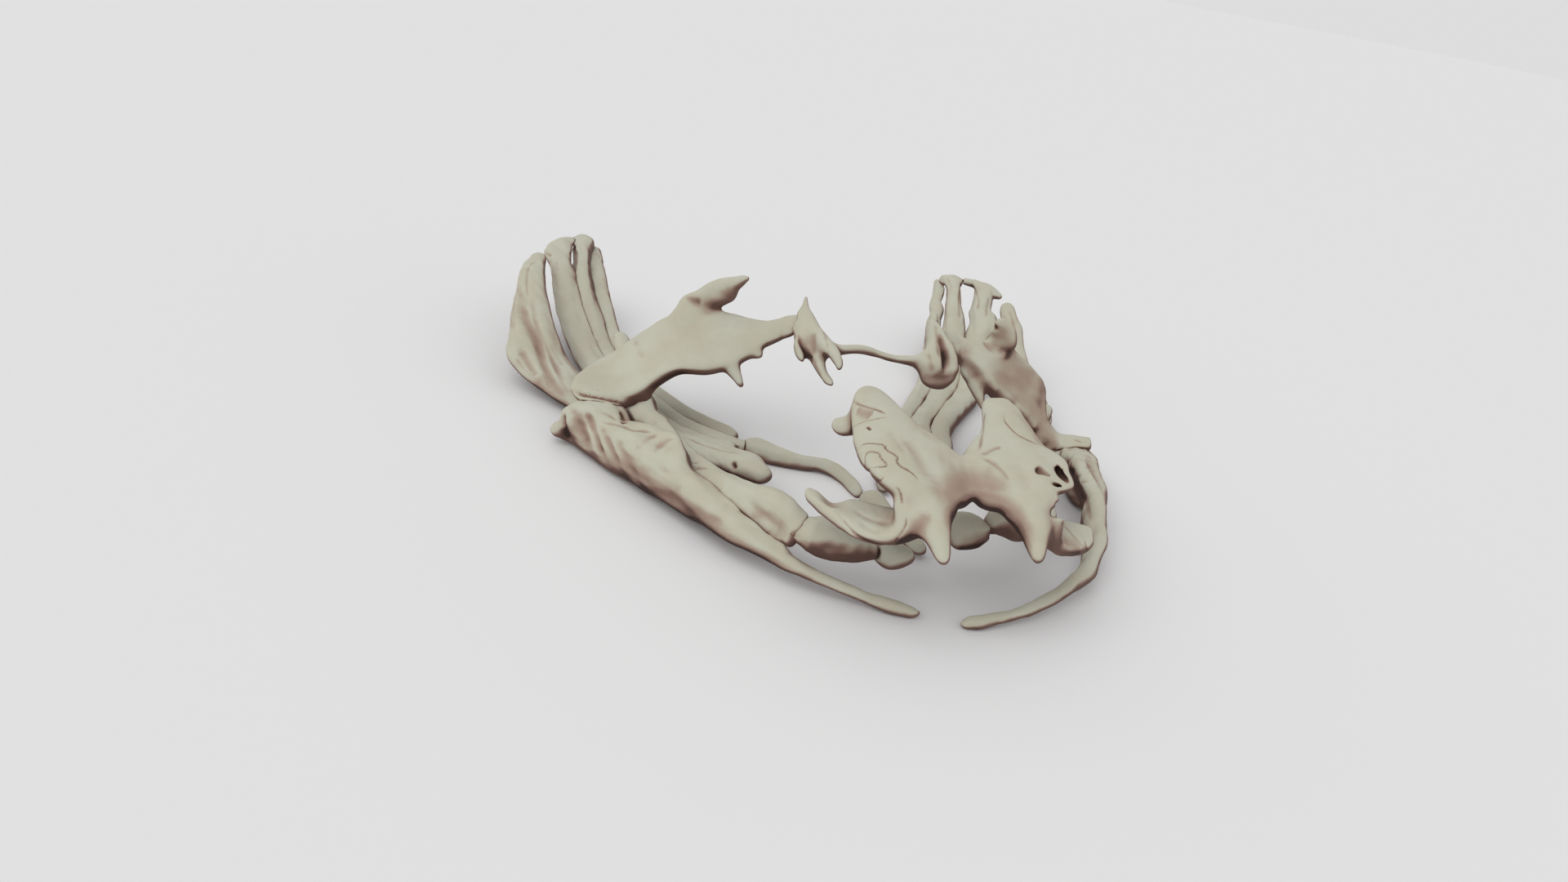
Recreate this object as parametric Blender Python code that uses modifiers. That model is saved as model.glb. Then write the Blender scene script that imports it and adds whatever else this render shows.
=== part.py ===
"""Gristle head skeleton of a grown axolotl, laid belly down as a life-size museum model.

It is modelled in millimetres, with the animal facing -Y, its left at +X and up at +Z. The jaw
joints lie near the X axis. The last step turns it into metres and sets it on the floor.
"""

import math

import bmesh
import bpy
from mathutils import Matrix, Vector

# Driving sizes, in millimetres unless said
METRE = 0.001              # one millimetre in metres
JOINT_GAP = 0.3            # clear space between bones that meet
JOINT_SPARE = 0.09         # added to it, as a swollen facet falls short of its corners
FLOOR = -0.80              # level that the lowest bones rest on
PLATE = 0.85               # thickness of the jaw plates
SHELL = 0.72               # thickness of the nose capsules
FLANGE = 0.62              # thickness of the floor flange beside each horn
PIN_RADIUS = 0.4           # support pins under the snout
PIN_SIDES = 16
VOXEL = 0.2                # grain of the fused surface

# The rings of the dome at each end of a bar: how far out, in half thicknesses, and how wide
DOME = ((0.40, 0.92), (0.72, 0.70), (0.93, 0.36))

# How many triangles each kind of bone may have
SNOUT_FACES = 3000
BRIDGE_FACES = 1200
PLATE_FACES = 1250
JAW_FACES = 900
BROAD_BAR_FACES = 620
TONGUE_BAND_FACES = 560
BAR_FACES = 420
SMALL_FACES = 240

# How the left side of the specimen has settled against the right
SKULL_ROLL = math.radians(1.2)
LEFT_CREST_SHIFT = (0.2, -0.6)
LEFT_KNOB_SHIFT = (-0.9, -0.65)

# Colour and roughness
CARTILAGE = (0.50, 0.48, 0.37)
CARTILAGE_ROUGHNESS = 0.75
STEEL = (0.55, 0.56, 0.57)
STEEL_ROUGHNESS = 0.35

SIDES = {"right": -1, "left": 1}


def clear_scene():
    for old in list(bpy.data.objects):
        bpy.data.objects.remove(old)


def make_collection(name):
    group = bpy.data.collections.new(name)
    bpy.context.scene.collection.children.link(group)
    return group


def make_material(name, colour, roughness, metallic=0.0):
    material = bpy.data.materials.new(name)
    material.use_nodes = True
    shader = material.node_tree.nodes["Principled BSDF"]
    shader.inputs["Base Color"].default_value = (*colour, 1.0)
    shader.inputs["Roughness"].default_value = roughness
    shader.inputs["Metallic"].default_value = metallic
    return material


def smooth_rows(rows, steps):
    """A Catmull-Rom curve through rows of numbers, with the first and last row kept."""
    rows = [Vector(row) for row in rows]
    padded = [2 * rows[0] - rows[1], *rows, 2 * rows[-1] - rows[-2]]
    curve = []
    for before, start, end, after in zip(padded, padded[1:], padded[2:], padded[3:]):
        for step in range(steps):
            t = step / steps
            linear = (end - before) * t
            square = (2 * before - 5 * start + 4 * end - after) * t * t
            cube = (3 * start - before - 3 * end + after) * t ** 3
            curve.append(0.5 * (2 * start + linear + square + cube))
    curve.append(rows[-1])
    return curve


def add_piece(shape):
    """A loose object for one piece of a bone, used up when the bone is fused."""
    mesh = bpy.data.meshes.new("piece")
    shape.to_mesh(mesh)
    shape.free()
    piece = bpy.data.objects.new("piece", mesh)
    bpy.context.scene.collection.objects.link(piece)
    return piece


def bar(stations, sides=14, steps=4, corner=0.85):
    """A closed bar of oval sections: x, y, z, half height, half width and twist in degrees."""
    curve = smooth_rows([(*row, 0.0)[:6] for row in stations], steps)
    rings = []
    for index, row in enumerate(curve):
        ahead = Vector(curve[min(index + 1, len(curve) - 1)][:3])
        behind = Vector(curve[max(index - 1, 0)][:3])
        along = (ahead - behind).normalized()
        twist = Matrix.Rotation(math.radians(row[5]), 3, along)
        side = twist @ along.cross(Vector((0, 0, 1))).normalized()
        rise = side.cross(along)
        height, width = max(row[3], 0.05), max(row[4], 0.05)
        reach = along * min(height, width)
        rings.append((Vector(row[:3]), side * width, rise * height, reach))
    loops = [(centre - reach * out, side * size, rise * size)
             for centre, side, rise, reach in rings[:1] for out, size in reversed(DOME)]
    loops += [(centre, side, rise) for centre, side, rise, reach in rings]
    loops += [(centre + reach * out, side * size, rise * size)
              for centre, side, rise, reach in rings[-1:] for out, size in DOME]
    shape = bmesh.new()
    rows = []
    for centre, side, rise in loops:
        row = []
        for step in range(sides):
            angle = 2 * math.pi * step / sides
            u, v = math.cos(angle), math.sin(angle)
            u = math.copysign(abs(u) ** corner, u)
            v = math.copysign(abs(v) ** corner, v)
            row.append(shape.verts.new(centre + side * u + rise * v))
        rows.append(row)
    for row, following in zip(rows, rows[1:]):
        for step in range(sides):
            after = (step + 1) % sides
            shape.faces.new((row[step], row[after], following[after], following[step]))
    shape.faces.new(rows[0])
    shape.faces.new(list(reversed(rows[-1])))
    bmesh.ops.recalc_face_normals(shape, faces=shape.faces)
    return add_piece(shape)


def sheet(rows, thickness, levels=2):
    """A closed plate over a net of points, rounded by subdivision and then given its thickness."""
    shape = bmesh.new()
    net = [[shape.verts.new(point) for point in row] for row in rows]
    for row, following in zip(net, net[1:]):
        for column in range(len(row) - 1):
            shape.faces.new((row[column], row[column + 1], following[column + 1], following[column]))
    bmesh.ops.recalc_face_normals(shape, faces=shape.faces)
    piece = add_piece(shape)
    soften = piece.modifiers.new("soften", "SUBSURF")
    soften.levels = levels
    soften.render_levels = levels
    shell = piece.modifiers.new("shell", "SOLIDIFY")
    shell.thickness = thickness
    shell.offset = 0.0
    apply_modifiers(piece)
    return piece


def apply_modifiers(thing):
    """Puts the evaluated mesh in place of the object's own and drops its modifiers."""
    bpy.context.view_layer.update()
    view = bpy.context.evaluated_depsgraph_get()
    result = bpy.data.meshes.new_from_object(thing.evaluated_get(view))
    thing.modifiers.clear()
    thing.data = result


def keep_largest(mesh):
    """Leaves only the closed surface with the most points."""
    shape = bmesh.new()
    shape.from_mesh(mesh)
    waiting = set(shape.verts)
    islands = []
    while waiting:
        stack = [waiting.pop()]
        island = set(stack)
        while stack:
            for edge in stack.pop().link_edges:
                fresh = [vert for vert in edge.verts if vert not in island]
                island.update(fresh)
                stack.extend(fresh)
        waiting -= island
        islands.append(island)
    largest = max(islands, key=len)
    scraps = [vert for vert in shape.verts if vert not in largest]
    bmesh.ops.delete(shape, geom=scraps, context="VERTS")
    shape.to_mesh(mesh)
    shape.free()


def fuse(name, pieces, material, triangles, rounds=5):
    """Unites a bone's pieces, lets the joins flow together and thins the faces to a budget."""
    bone = pieces[0]
    if len(pieces) > 1:
        others = make_collection("others")
        for piece in pieces[1:]:
            bpy.context.scene.collection.objects.unlink(piece)
            others.objects.link(piece)
        union = bone.modifiers.new("union", "BOOLEAN")
        union.operation = "UNION"
        union.operand_type = "COLLECTION"
        union.collection = others
        union.solver = "EXACT"
        union.use_self = True
        apply_modifiers(bone)
        for piece in list(others.objects):
            bpy.data.objects.remove(piece)
        bpy.data.collections.remove(others)
    skin = bone.modifiers.new("skin", "REMESH")
    skin.mode = "VOXEL"
    skin.voxel_size = VOXEL
    flow = bone.modifiers.new("flow", "SMOOTH")
    flow.factor = 0.5
    flow.iterations = rounds
    apply_modifiers(bone)
    keep_largest(bone.data)
    faces = sum(len(polygon.vertices) - 2 for polygon in bone.data.polygons)
    thin = bone.modifiers.new("thin", "DECIMATE")
    thin.ratio = min(1.0, triangles / faces)
    thin.use_collapse_triangulate = True
    apply_modifiers(bone)
    keep_largest(bone.data)
    bone.name = name
    bone.data.name = name
    bone.data.materials.clear()
    bone.data.materials.append(material)
    bone.data.shade_smooth()
    return bone


def fit(bone, neighbour):
    """Cuts a bone clear of its neighbour, so that they meet face to face across the joint gap."""
    cutter = bpy.data.objects.new("cutter", neighbour.data.copy())
    bpy.context.scene.collection.objects.link(cutter)
    swell = cutter.modifiers.new("swell", "DISPLACE")
    swell.strength = JOINT_GAP + JOINT_SPARE
    swell.mid_level = 0.0
    apply_modifiers(cutter)
    cut = bone.modifiers.new("cut", "BOOLEAN")
    cut.operation = "DIFFERENCE"
    cut.object = cutter
    cut.solver = "EXACT"
    cut.use_self = True
    apply_modifiers(bone)
    bpy.data.objects.remove(cutter)
    keep_largest(bone.data)


def across(stations, sign):
    """The same stations on the side of the body that the sign gives."""
    return tuple((sign * row[0], *row[1:]) for row in stations)


def moved(stations, shift):
    """The same stations slid level, sideways and back."""
    return tuple((row[0] + shift[0], row[1] + shift[1], *row[2:]) for row in stations)


# Lower jaw: a long bar for each side, with its joint knobs and the crest behind its middle
JAW_BAR = (
    (1.0, -16.05, -0.57, 0.30, 0.32),
    (1.8, -15.85, -0.50, 0.36, 0.37),
    (3.5, -15.15, -0.25, 0.31, 0.34),
    (5.5, -14.20, 0.10, 0.35, 0.38),
    (7.4, -12.70, 0.42, 0.52, 0.46),
    (9.0, -10.60, 0.60, 0.82, 0.58),
    (10.5, -8.00, 0.62, 1.18, 0.72),
    (12.1, -5.30, 0.52, 1.32, 0.92),
    (13.5, -2.90, 0.28, 1.12, 1.15),
    (14.2, -1.50, 0.00, 0.85, 1.15),
)
JAW_CREST = (
    (10.6, -8.60, 1.20, 0.50, 0.40),
    (10.4, -7.40, 1.65, 0.72, 0.42),
    (10.6, -6.20, 1.75, 0.70, 0.46),
    (11.3, -5.00, 1.40, 0.60, 0.55),
    (12.2, -3.60, 1.10, 0.50, 0.60),
)
JAW_HEAD = (
    (15.0, -2.10, 0.70, 0.75, 0.60),
    (14.2, -2.50, 1.05, 0.90, 0.75),
    (13.3, -2.60, 1.05, 0.85, 0.72),
    (12.5, -2.50, 0.85, 0.62, 0.58),
)
JAW_OUTER_KNOB = (
    (14.2, -1.60, 0.10, 0.80, 0.80),
    (15.0, -1.60, -0.05, 0.62, 0.65),
    (15.6, -1.60, -0.15, 0.46, 0.50),
)

# The left bar bows out further and has slid forward, and its head stands lower
LEFT_JAW_BAR = (
    (0.85, -16.8, -0.57, 0.30, 0.32),
    (1.7, -16.75, -0.50, 0.36, 0.37),
    (3.5, -16.45, -0.25, 0.31, 0.34),
    (5.4, -15.75, 0.05, 0.35, 0.38),
    (7.3, -14.45, 0.30, 0.46, 0.42),
    (8.9, -12.65, 0.50, 0.66, 0.48),
    (10.2, -10.5, 0.60, 0.92, 0.60),
    (11.2, -8.10, 0.62, 1.20, 0.75),
    (12.1, -5.80, 0.50, 1.25, 0.90),
    (12.9, -3.60, 0.28, 1.12, 1.10),
    (13.4, -2.10, 0.00, 0.85, 1.10),
)
LEFT_JAW_HEAD = (
    (14.0, -2.90, 0.35, 0.60, 0.60),
    (13.2, -3.10, 0.50, 0.68, 0.72),
    (12.3, -3.10, 0.45, 0.62, 0.66),
    (11.6, -2.90, 0.35, 0.45, 0.50),
)


def make_jaw(side, material):
    pieces = [JAW_BAR, JAW_CREST, JAW_HEAD, JAW_OUTER_KNOB]
    if side == "left":
        pieces = [LEFT_JAW_BAR, moved(JAW_CREST, LEFT_CREST_SHIFT), LEFT_JAW_HEAD,
                  moved(JAW_OUTER_KNOB, LEFT_KNOB_SHIFT)]
    return fuse(f"meckel_{side}", [bar(stations) for stations in pieces], material, JAW_FACES)


# Jaw plate: it stands on the jaw joint and leans in and back to the skull's hinge
PLATE_NET = (
    ((15.1, -1.15, 1.65), (15.1, -0.75, 1.68), (15.0, -0.40, 1.72)),
    ((13.9, -1.80, 1.62), (14.1, 0.00, 1.75), (14.1, 1.50, 1.55)),
    ((12.6, -2.00, 1.45), (13.1, 0.50, 1.90), (13.4, 2.40, 1.50)),
    ((11.6, -1.80, 1.85), (12.2, 0.50, 2.40), (12.7, 2.10, 2.40)),
    ((10.7, -1.50, 2.85), (11.2, 0.30, 3.30), (11.8, 1.50, 3.70)),
    ((9.5, -1.50, 3.45), (10.0, 0.10, 4.10), (10.8, 1.20, 4.90)),
    ((8.3, -1.50, 3.75), (8.7, 0.00, 4.70), (9.4, 1.20, 5.75)),
    ((7.3, -1.50, 3.90), (7.5, -0.40, 4.90), (7.8, 0.60, 6.00)),
    ((6.4, -1.30, 4.65), (6.3, -0.70, 5.25), (6.4, 0.05, 5.90)),
    ((5.4, -1.05, 5.35), (5.3, -0.70, 5.75), (5.3, -0.30, 6.25)),
    ((4.1, -0.80, 5.85), (4.05, -0.55, 6.35), (4.0, -0.30, 6.85)),
)
PLATE_WING = (
    (9.6, 1.25, 5.65, 0.28, 0.35),
    (9.0, 0.95, 6.25, 0.55, 0.42),
    (8.3, 0.45, 7.00, 0.66, 0.42),
    (7.6, -0.20, 7.75, 0.46, 0.34),
    (7.05, -0.75, 8.40, 0.22, 0.20),
)
PLATE_SPUR = (
    (7.4, -1.30, 4.20, 0.50, 0.45),
    (7.1, -1.80, 3.65, 0.35, 0.36),
    (6.8, -2.40, 3.15, 0.20, 0.22),
)
PLATE_FOOT_RIM = (
    (15.0, -1.10, 1.68, 0.26, 0.34),
    (13.9, -1.70, 1.66, 0.28, 0.42),
    (12.7, -1.75, 1.60, 0.26, 0.42),
)
NECK_KNOB = (
    (6.1, -1.1, 4.95, 0.30, 0.30),
    (6.0, -1.5, 4.70, 0.24, 0.26),
)
# The left plate has slid forward and stands steeper, on a narrow ankle and foot
LEFT_PLATE_NET = (
    ((13.6, -2.75, 1.62), (13.8, -2.45, 1.64), (14.0, -2.10, 1.66)),
    ((12.4, -2.80, 1.40), (12.7, -2.40, 1.42), (13.1, -1.95, 1.44)),
    ((11.4, -2.90, 1.10), (11.7, -2.40, 1.30), (12.1, -1.80, 1.50)),
    ((10.3, -2.60, 1.75), (10.8, -2.10, 1.90), (11.4, -1.50, 2.00)),
    ((9.3, -2.50, 2.60), (10.2, -1.90, 2.60), (11.0, -1.30, 2.65)),
    ((8.2, -2.50, 3.30), (9.8, -1.60, 3.30), (11.1, -0.80, 3.30)),
    ((7.3, -2.50, 3.80), (9.3, -1.40, 3.85), (11.3, -0.20, 3.75)),
    ((6.5, -2.50, 4.40), (8.6, -1.20, 4.55), (10.4, 0.00, 4.55)),
    ((6.0, -2.30, 5.00), (7.7, -1.20, 5.40), (9.1, 0.00, 5.50)),
    ((5.7, -2.00, 5.30), (6.6, -1.20, 5.85), (7.5, -0.30, 6.10)),
    ((5.2, -1.80, 5.35), (5.5, -1.20, 5.80), (5.7, -0.70, 6.10)),
    ((4.7, -1.50, 5.60), (4.8, -1.05, 6.10), (4.9, -0.65, 6.45)),
    ((4.1, -1.20, 6.05), (4.1, -0.85, 6.50), (4.1, -0.55, 6.90)),
)
LEFT_PLATE_WING = (
    (8.4, -0.10, 5.80, 0.35, 0.34),
    (7.9, -0.50, 6.30, 0.60, 0.40),
    (7.5, -0.80, 6.90, 0.62, 0.40),
    (7.0, -1.00, 7.35, 0.40, 0.32),
)
LEFT_PLATE_SPUR = (
    (5.4, -1.80, 5.00, 0.34, 0.34),
    (5.9, -2.30, 4.30, 0.36, 0.34),
    (6.3, -2.65, 3.70, 0.28, 0.28),
    (6.5, -2.90, 3.30, 0.20, 0.20),
)


def make_jaw_plate(side, material):
    net = PLATE_NET
    bars = [PLATE_WING, PLATE_SPUR, PLATE_FOOT_RIM, NECK_KNOB]
    if side == "left":
        net = LEFT_PLATE_NET
        bars = [LEFT_PLATE_WING, LEFT_PLATE_SPUR]
    pieces = [sheet(net, PLATE), *[bar(stations) for stations in bars]]
    return fuse(f"suspensorium_{side}", pieces, material, PLATE_FACES)


# Back of the skull: two blocks, worn to different shapes, tied by a thin strap
RIGHT_BLOCK = (
    # Spike, ridge and upper prong
    (
        (-3.72, -0.1, 7.50, 0.20, 0.19),
        (-3.70, -0.3, 7.05, 0.26, 0.23),
        (-3.60, -0.8, 6.60, 0.46, 0.36),
        (-3.40, -1.6, 6.10, 0.60, 0.44),
        (-3.10, -2.5, 5.95, 0.50, 0.42),
        (-2.85, -3.4, 5.98, 0.36, 0.36),
        (-2.70, -4.1, 5.78, 0.30, 0.32),
        (-2.65, -4.5, 5.58, 0.24, 0.26),
    ),
    # Lower prong
    (
        (-3.50, -1.4, 5.95, 0.50, 0.42),
        (-3.35, -2.4, 5.35, 0.42, 0.38),
        (-3.15, -3.5, 4.86, 0.27, 0.32),
        (-2.98, -4.2, 4.66, 0.26, 0.32),
        (-2.88, -4.6, 4.66, 0.21, 0.24),
    ),
    # Tab on the outer side
    (
        (-3.70, -0.9, 6.50, 0.36, 0.28),
        (-4.10, -1.6, 5.95, 0.38, 0.28),
        (-4.25, -2.3, 5.45, 0.34, 0.26),
        (-4.15, -2.9, 5.10, 0.26, 0.24),
    ),
)
LEFT_BLOCK = (
    # Spike and ridge
    (
        (3.40, -0.3, 7.55, 0.26, 0.22),
        (3.35, -0.7, 7.05, 0.38, 0.30),
        (3.20, -1.5, 6.40, 0.58, 0.42),
        (3.00, -2.4, 6.00, 0.52, 0.42),
        (2.90, -3.0, 5.70, 0.40, 0.36),
    ),
    # Rounded lobe that hangs below the strap
    (
        (2.35, -2.8, 5.60, 0.42, 0.30),
        (2.85, -3.1, 5.20, 0.80, 0.34),
        (3.35, -3.2, 4.85, 0.66, 0.34),
        (3.75, -3.2, 4.70, 0.36, 0.30),
    ),
    # Finger in front of the ridge
    (
        (3.40, -1.7, 6.85, 0.30, 0.26),
        (3.75, -2.3, 6.35, 0.42, 0.34),
        (4.00, -2.7, 5.80, 0.42, 0.34),
        (4.10, -3.0, 5.35, 0.36, 0.32),
        (4.05, -3.2, 5.00, 0.28, 0.26),
    ),
)
STRAP = (
    (-3.1, -2.4, 5.75, 0.50, 0.42),
    (-2.6, -2.7, 5.75, 0.38, 0.34),
    (-1.9, -2.8, 5.90, 0.29, 0.28),
    (-1.0, -2.8, 6.02, 0.27, 0.27),
    (0.0, -2.75, 5.88, 0.26, 0.27),
    (1.0, -2.75, 5.70, 0.27, 0.28),
    (2.0, -2.70, 5.60, 0.38, 0.30),
    (2.6, -2.60, 5.62, 0.70, 0.34),
    (3.1, -2.40, 5.75, 0.85, 0.40),
)


def make_bridge(material):
    pieces = [bar(stations) for stations in (*RIGHT_BLOCK, *LEFT_BLOCK, STRAP)]
    return fuse("occipital_bridge", pieces, material, BRIDGE_FACES)


# Snout: two thin nose capsules joined by a saddle, each with a horn in front and a floor flange
ROOF_NET = (
    ((2.5, -9.75, 6.55), (3.0, -9.70, 6.85), (3.6, -9.90, 6.95), (4.1, -10.4, 6.75)),
    ((2.1, -11.0, 6.45), (2.8, -11.0, 6.75), (3.5, -11.2, 6.65), (4.2, -11.6, 6.05)),
    ((1.6, -12.4, 6.20), (2.4, -12.5, 6.50), (3.4, -12.7, 6.50), (4.5, -13.0, 5.75)),
    ((0.0, -13.5, 5.90), (1.6, -13.8, 6.10), (3.1, -14.1, 6.40), (4.8, -14.4, 5.80)),
    ((0.0, -15.1, 5.50), (1.4, -15.4, 5.80), (2.9, -15.6, 6.20), (4.5, -15.7, 5.80)),
    ((0.0, -16.5, 4.95), (1.3, -16.8, 5.10), (2.7, -16.9, 5.55), (3.9, -16.7, 5.40)),
)
FRONT_WALL_NET = (
    ((0.9, -16.4, 5.25), (1.1, -16.9, 4.95), (1.3, -17.2, 4.65)),
    ((2.0, -16.4, 5.60), (2.1, -17.0, 5.05), (2.2, -17.5, 4.45)),
    ((3.0, -16.4, 5.70), (3.0, -17.1, 5.00), (3.0, -17.5, 4.20)),
    ((3.8, -16.3, 5.40), (3.7, -16.9, 4.70), (3.6, -17.2, 4.00)),
)
HORN = (
    (1.9, -14.8, 5.80, 0.45, 0.80),
    (2.1, -16.2, 5.35, 0.55, 0.90),
    (2.2, -17.3, 4.85, 0.62, 0.78),
    (2.15, -18.1, 4.35, 0.42, 0.50),
    (2.1, -18.6, 4.05, 0.28, 0.33),
)
FLANGE_NET = (
    ((2.6, -17.6, 4.30), (2.8, -16.7, 4.35), (2.9, -15.9, 4.45)),
    ((3.4, -17.6, 3.85), (3.5, -16.6, 3.95), (3.5, -15.4, 4.10)),
    ((4.3, -17.3, 3.60), (4.2, -16.2, 3.75), (4.2, -14.8, 3.95)),
    ((5.2, -16.7, 3.60), (5.1, -15.7, 3.75), (5.0, -14.6, 3.90)),
    ((6.0, -15.6, 3.75), (5.8, -15.1, 3.80), (5.6, -14.6, 3.90)),
    ((6.7, -14.5, 4.15), (6.5, -14.4, 4.20), (6.4, -14.2, 4.25)),
)
# The left flange is a broad flat leaf, where the right one curls up to a point
LEFT_FLANGE_TURN = {
    2: ((4.2, -17.4, 3.55), (4.2, -16.3, 3.70), (4.3, -15.0, 3.75)),
    3: ((5.1, -17.2, 3.45), (5.1, -16.2, 3.60), (5.2, -15.1, 3.70)),
    4: ((5.7, -16.7, 3.40), (5.8, -16.0, 3.55), (5.9, -15.2, 3.65)),
    5: ((6.1, -16.3, 3.40), (6.2, -15.8, 3.50), (6.4, -15.3, 3.60)),
}
# The left roof has lost its front outer corner
LEFT_ROOF_TURN = {
    4: ((0.0, -15.1, 5.50), (1.4, -15.4, 5.80), (2.8, -15.6, 6.15), (4.1, -15.4, 5.95)),
    5: ((0.0, -16.5, 4.95), (1.2, -16.8, 5.10), (2.4, -16.9, 5.50), (3.3, -16.6, 5.45)),
}
SHELF_LOBE = (
    (3.2, -11.8, 6.20, 0.50, 0.50),
    (3.6, -11.0, 5.90, 0.50, 0.50),
    (4.0, -10.4, 5.60, 0.50, 0.45),
    (4.3, -10.1, 5.40, 0.40, 0.35),
)


def turned(net, rows):
    """The same net with some of its rows replaced, by their number."""
    return [rows.get(number, row) for number, row in enumerate(net)]


def make_snout(material):
    pieces = []
    for side, sign in SIDES.items():
        left = side == "left"
        roof = turned(ROOF_NET, LEFT_ROOF_TURN if left else {})
        flange = turned(FLANGE_NET, LEFT_FLANGE_TURN if left else {})
        for net, thickness in ((roof, SHELL), (FRONT_WALL_NET, SHELL), (flange, FLANGE)):
            pieces.append(sheet([across(row, sign) for row in net], thickness))
        pieces.append(bar(across(HORN, sign)))
        pieces.append(bar(across(SHELF_LOBE, sign)))
    return fuse("ethmoid", pieces, material, SNOUT_FACES)


# Tongue arch: on each side a knob, a pear and a long band that ends in a tongue behind the plate
TONGUE_ARCH = {
    "right": {
        "hypohyal_knob": (
            (1.85, -13.45, 0.78, 0.60, 0.64),
            (1.35, -13.45, 0.72, 0.52, 0.58),
        ),
        "hypohyal": (
            (6.20, -13.25, 1.45, 0.50, 0.48),
            (5.50, -13.25, 1.50, 0.86, 0.72),
            (4.80, -13.30, 1.38, 0.96, 0.84),
            (4.10, -13.40, 1.20, 0.88, 0.84),
            (3.50, -13.45, 1.02, 0.76, 0.74),
            (3.05, -13.45, 0.92, 0.62, 0.62),
        ),
        "ceratohyal": (
            (6.20, -12.65, 1.75, 0.85, 0.62),
            (7.40, -10.90, 1.35, 1.02, 0.64),
            (8.80, -8.20, 0.75, 1.00, 0.62),
            (9.80, -5.60, 0.55, 0.92, 0.58),
            (10.50, -3.40, 0.70, 0.85, 0.52),
            (11.20, -1.00, 1.30, 0.62, 0.46),
            (11.70, 1.00, 1.90, 0.55, 0.46),
            (12.10, 2.60, 2.50, 0.52, 0.50),
            (12.30, 3.80, 2.95, 0.44, 0.46),
        ),
    },
    "left": {
        "hypohyal_knob": (
            (2.50, -12.80, 1.30, 0.66, 0.70),
            (1.80, -13.00, 1.25, 0.60, 0.64),
        ),
        "hypohyal": (
            (6.00, -12.40, 1.80, 0.55, 0.50),
            (5.30, -12.50, 1.85, 0.92, 0.72),
            (4.50, -12.60, 1.80, 1.02, 0.78),
            (3.70, -12.70, 1.75, 0.76, 0.66),
        ),
        "ceratohyal": (
            (6.70, -11.60, 1.50, 0.82, 0.56),
            (7.10, -10.00, 1.20, 1.00, 0.60),
            (7.80, -8.00, 0.95, 1.00, 0.56),
            (8.80, -5.80, 0.70, 0.90, 0.52),
            (9.80, -3.80, 0.65, 0.70, 0.46),
            (10.60, -2.20, 0.60, 0.46, 0.42),
            (11.40, -0.70, 0.80, 0.46, 0.42),
            (12.30, 0.40, 1.10, 0.55, 0.44),
            (12.95, 1.20, 1.35, 0.60, 0.44),
        ),
    },
}
BASIBRANCHIAL = (
    (0.75, -11.4, -0.35, 0.42, 0.42),
    (0.30, -9.70, -0.35, 0.42, 0.45),
    (-0.15, -8.40, -0.28, 0.52, 0.55),
    (-0.55, -7.50, -0.15, 0.66, 0.78),
)
HYPOBRANCHIAL = (
    (5.50, -2.30, -0.22, 0.62, 0.70),
    (4.80, -2.60, -0.30, 0.58, 0.60),
    (3.90, -3.00, -0.35, 0.50, 0.45),
    (2.95, -3.35, -0.38, 0.44, 0.40),
    (1.80, -3.55, -0.35, 0.42, 0.40),
    (1.05, -4.35, -0.35, 0.42, 0.40),
    (0.80, -5.70, -0.35, 0.40, 0.38),
)
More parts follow.
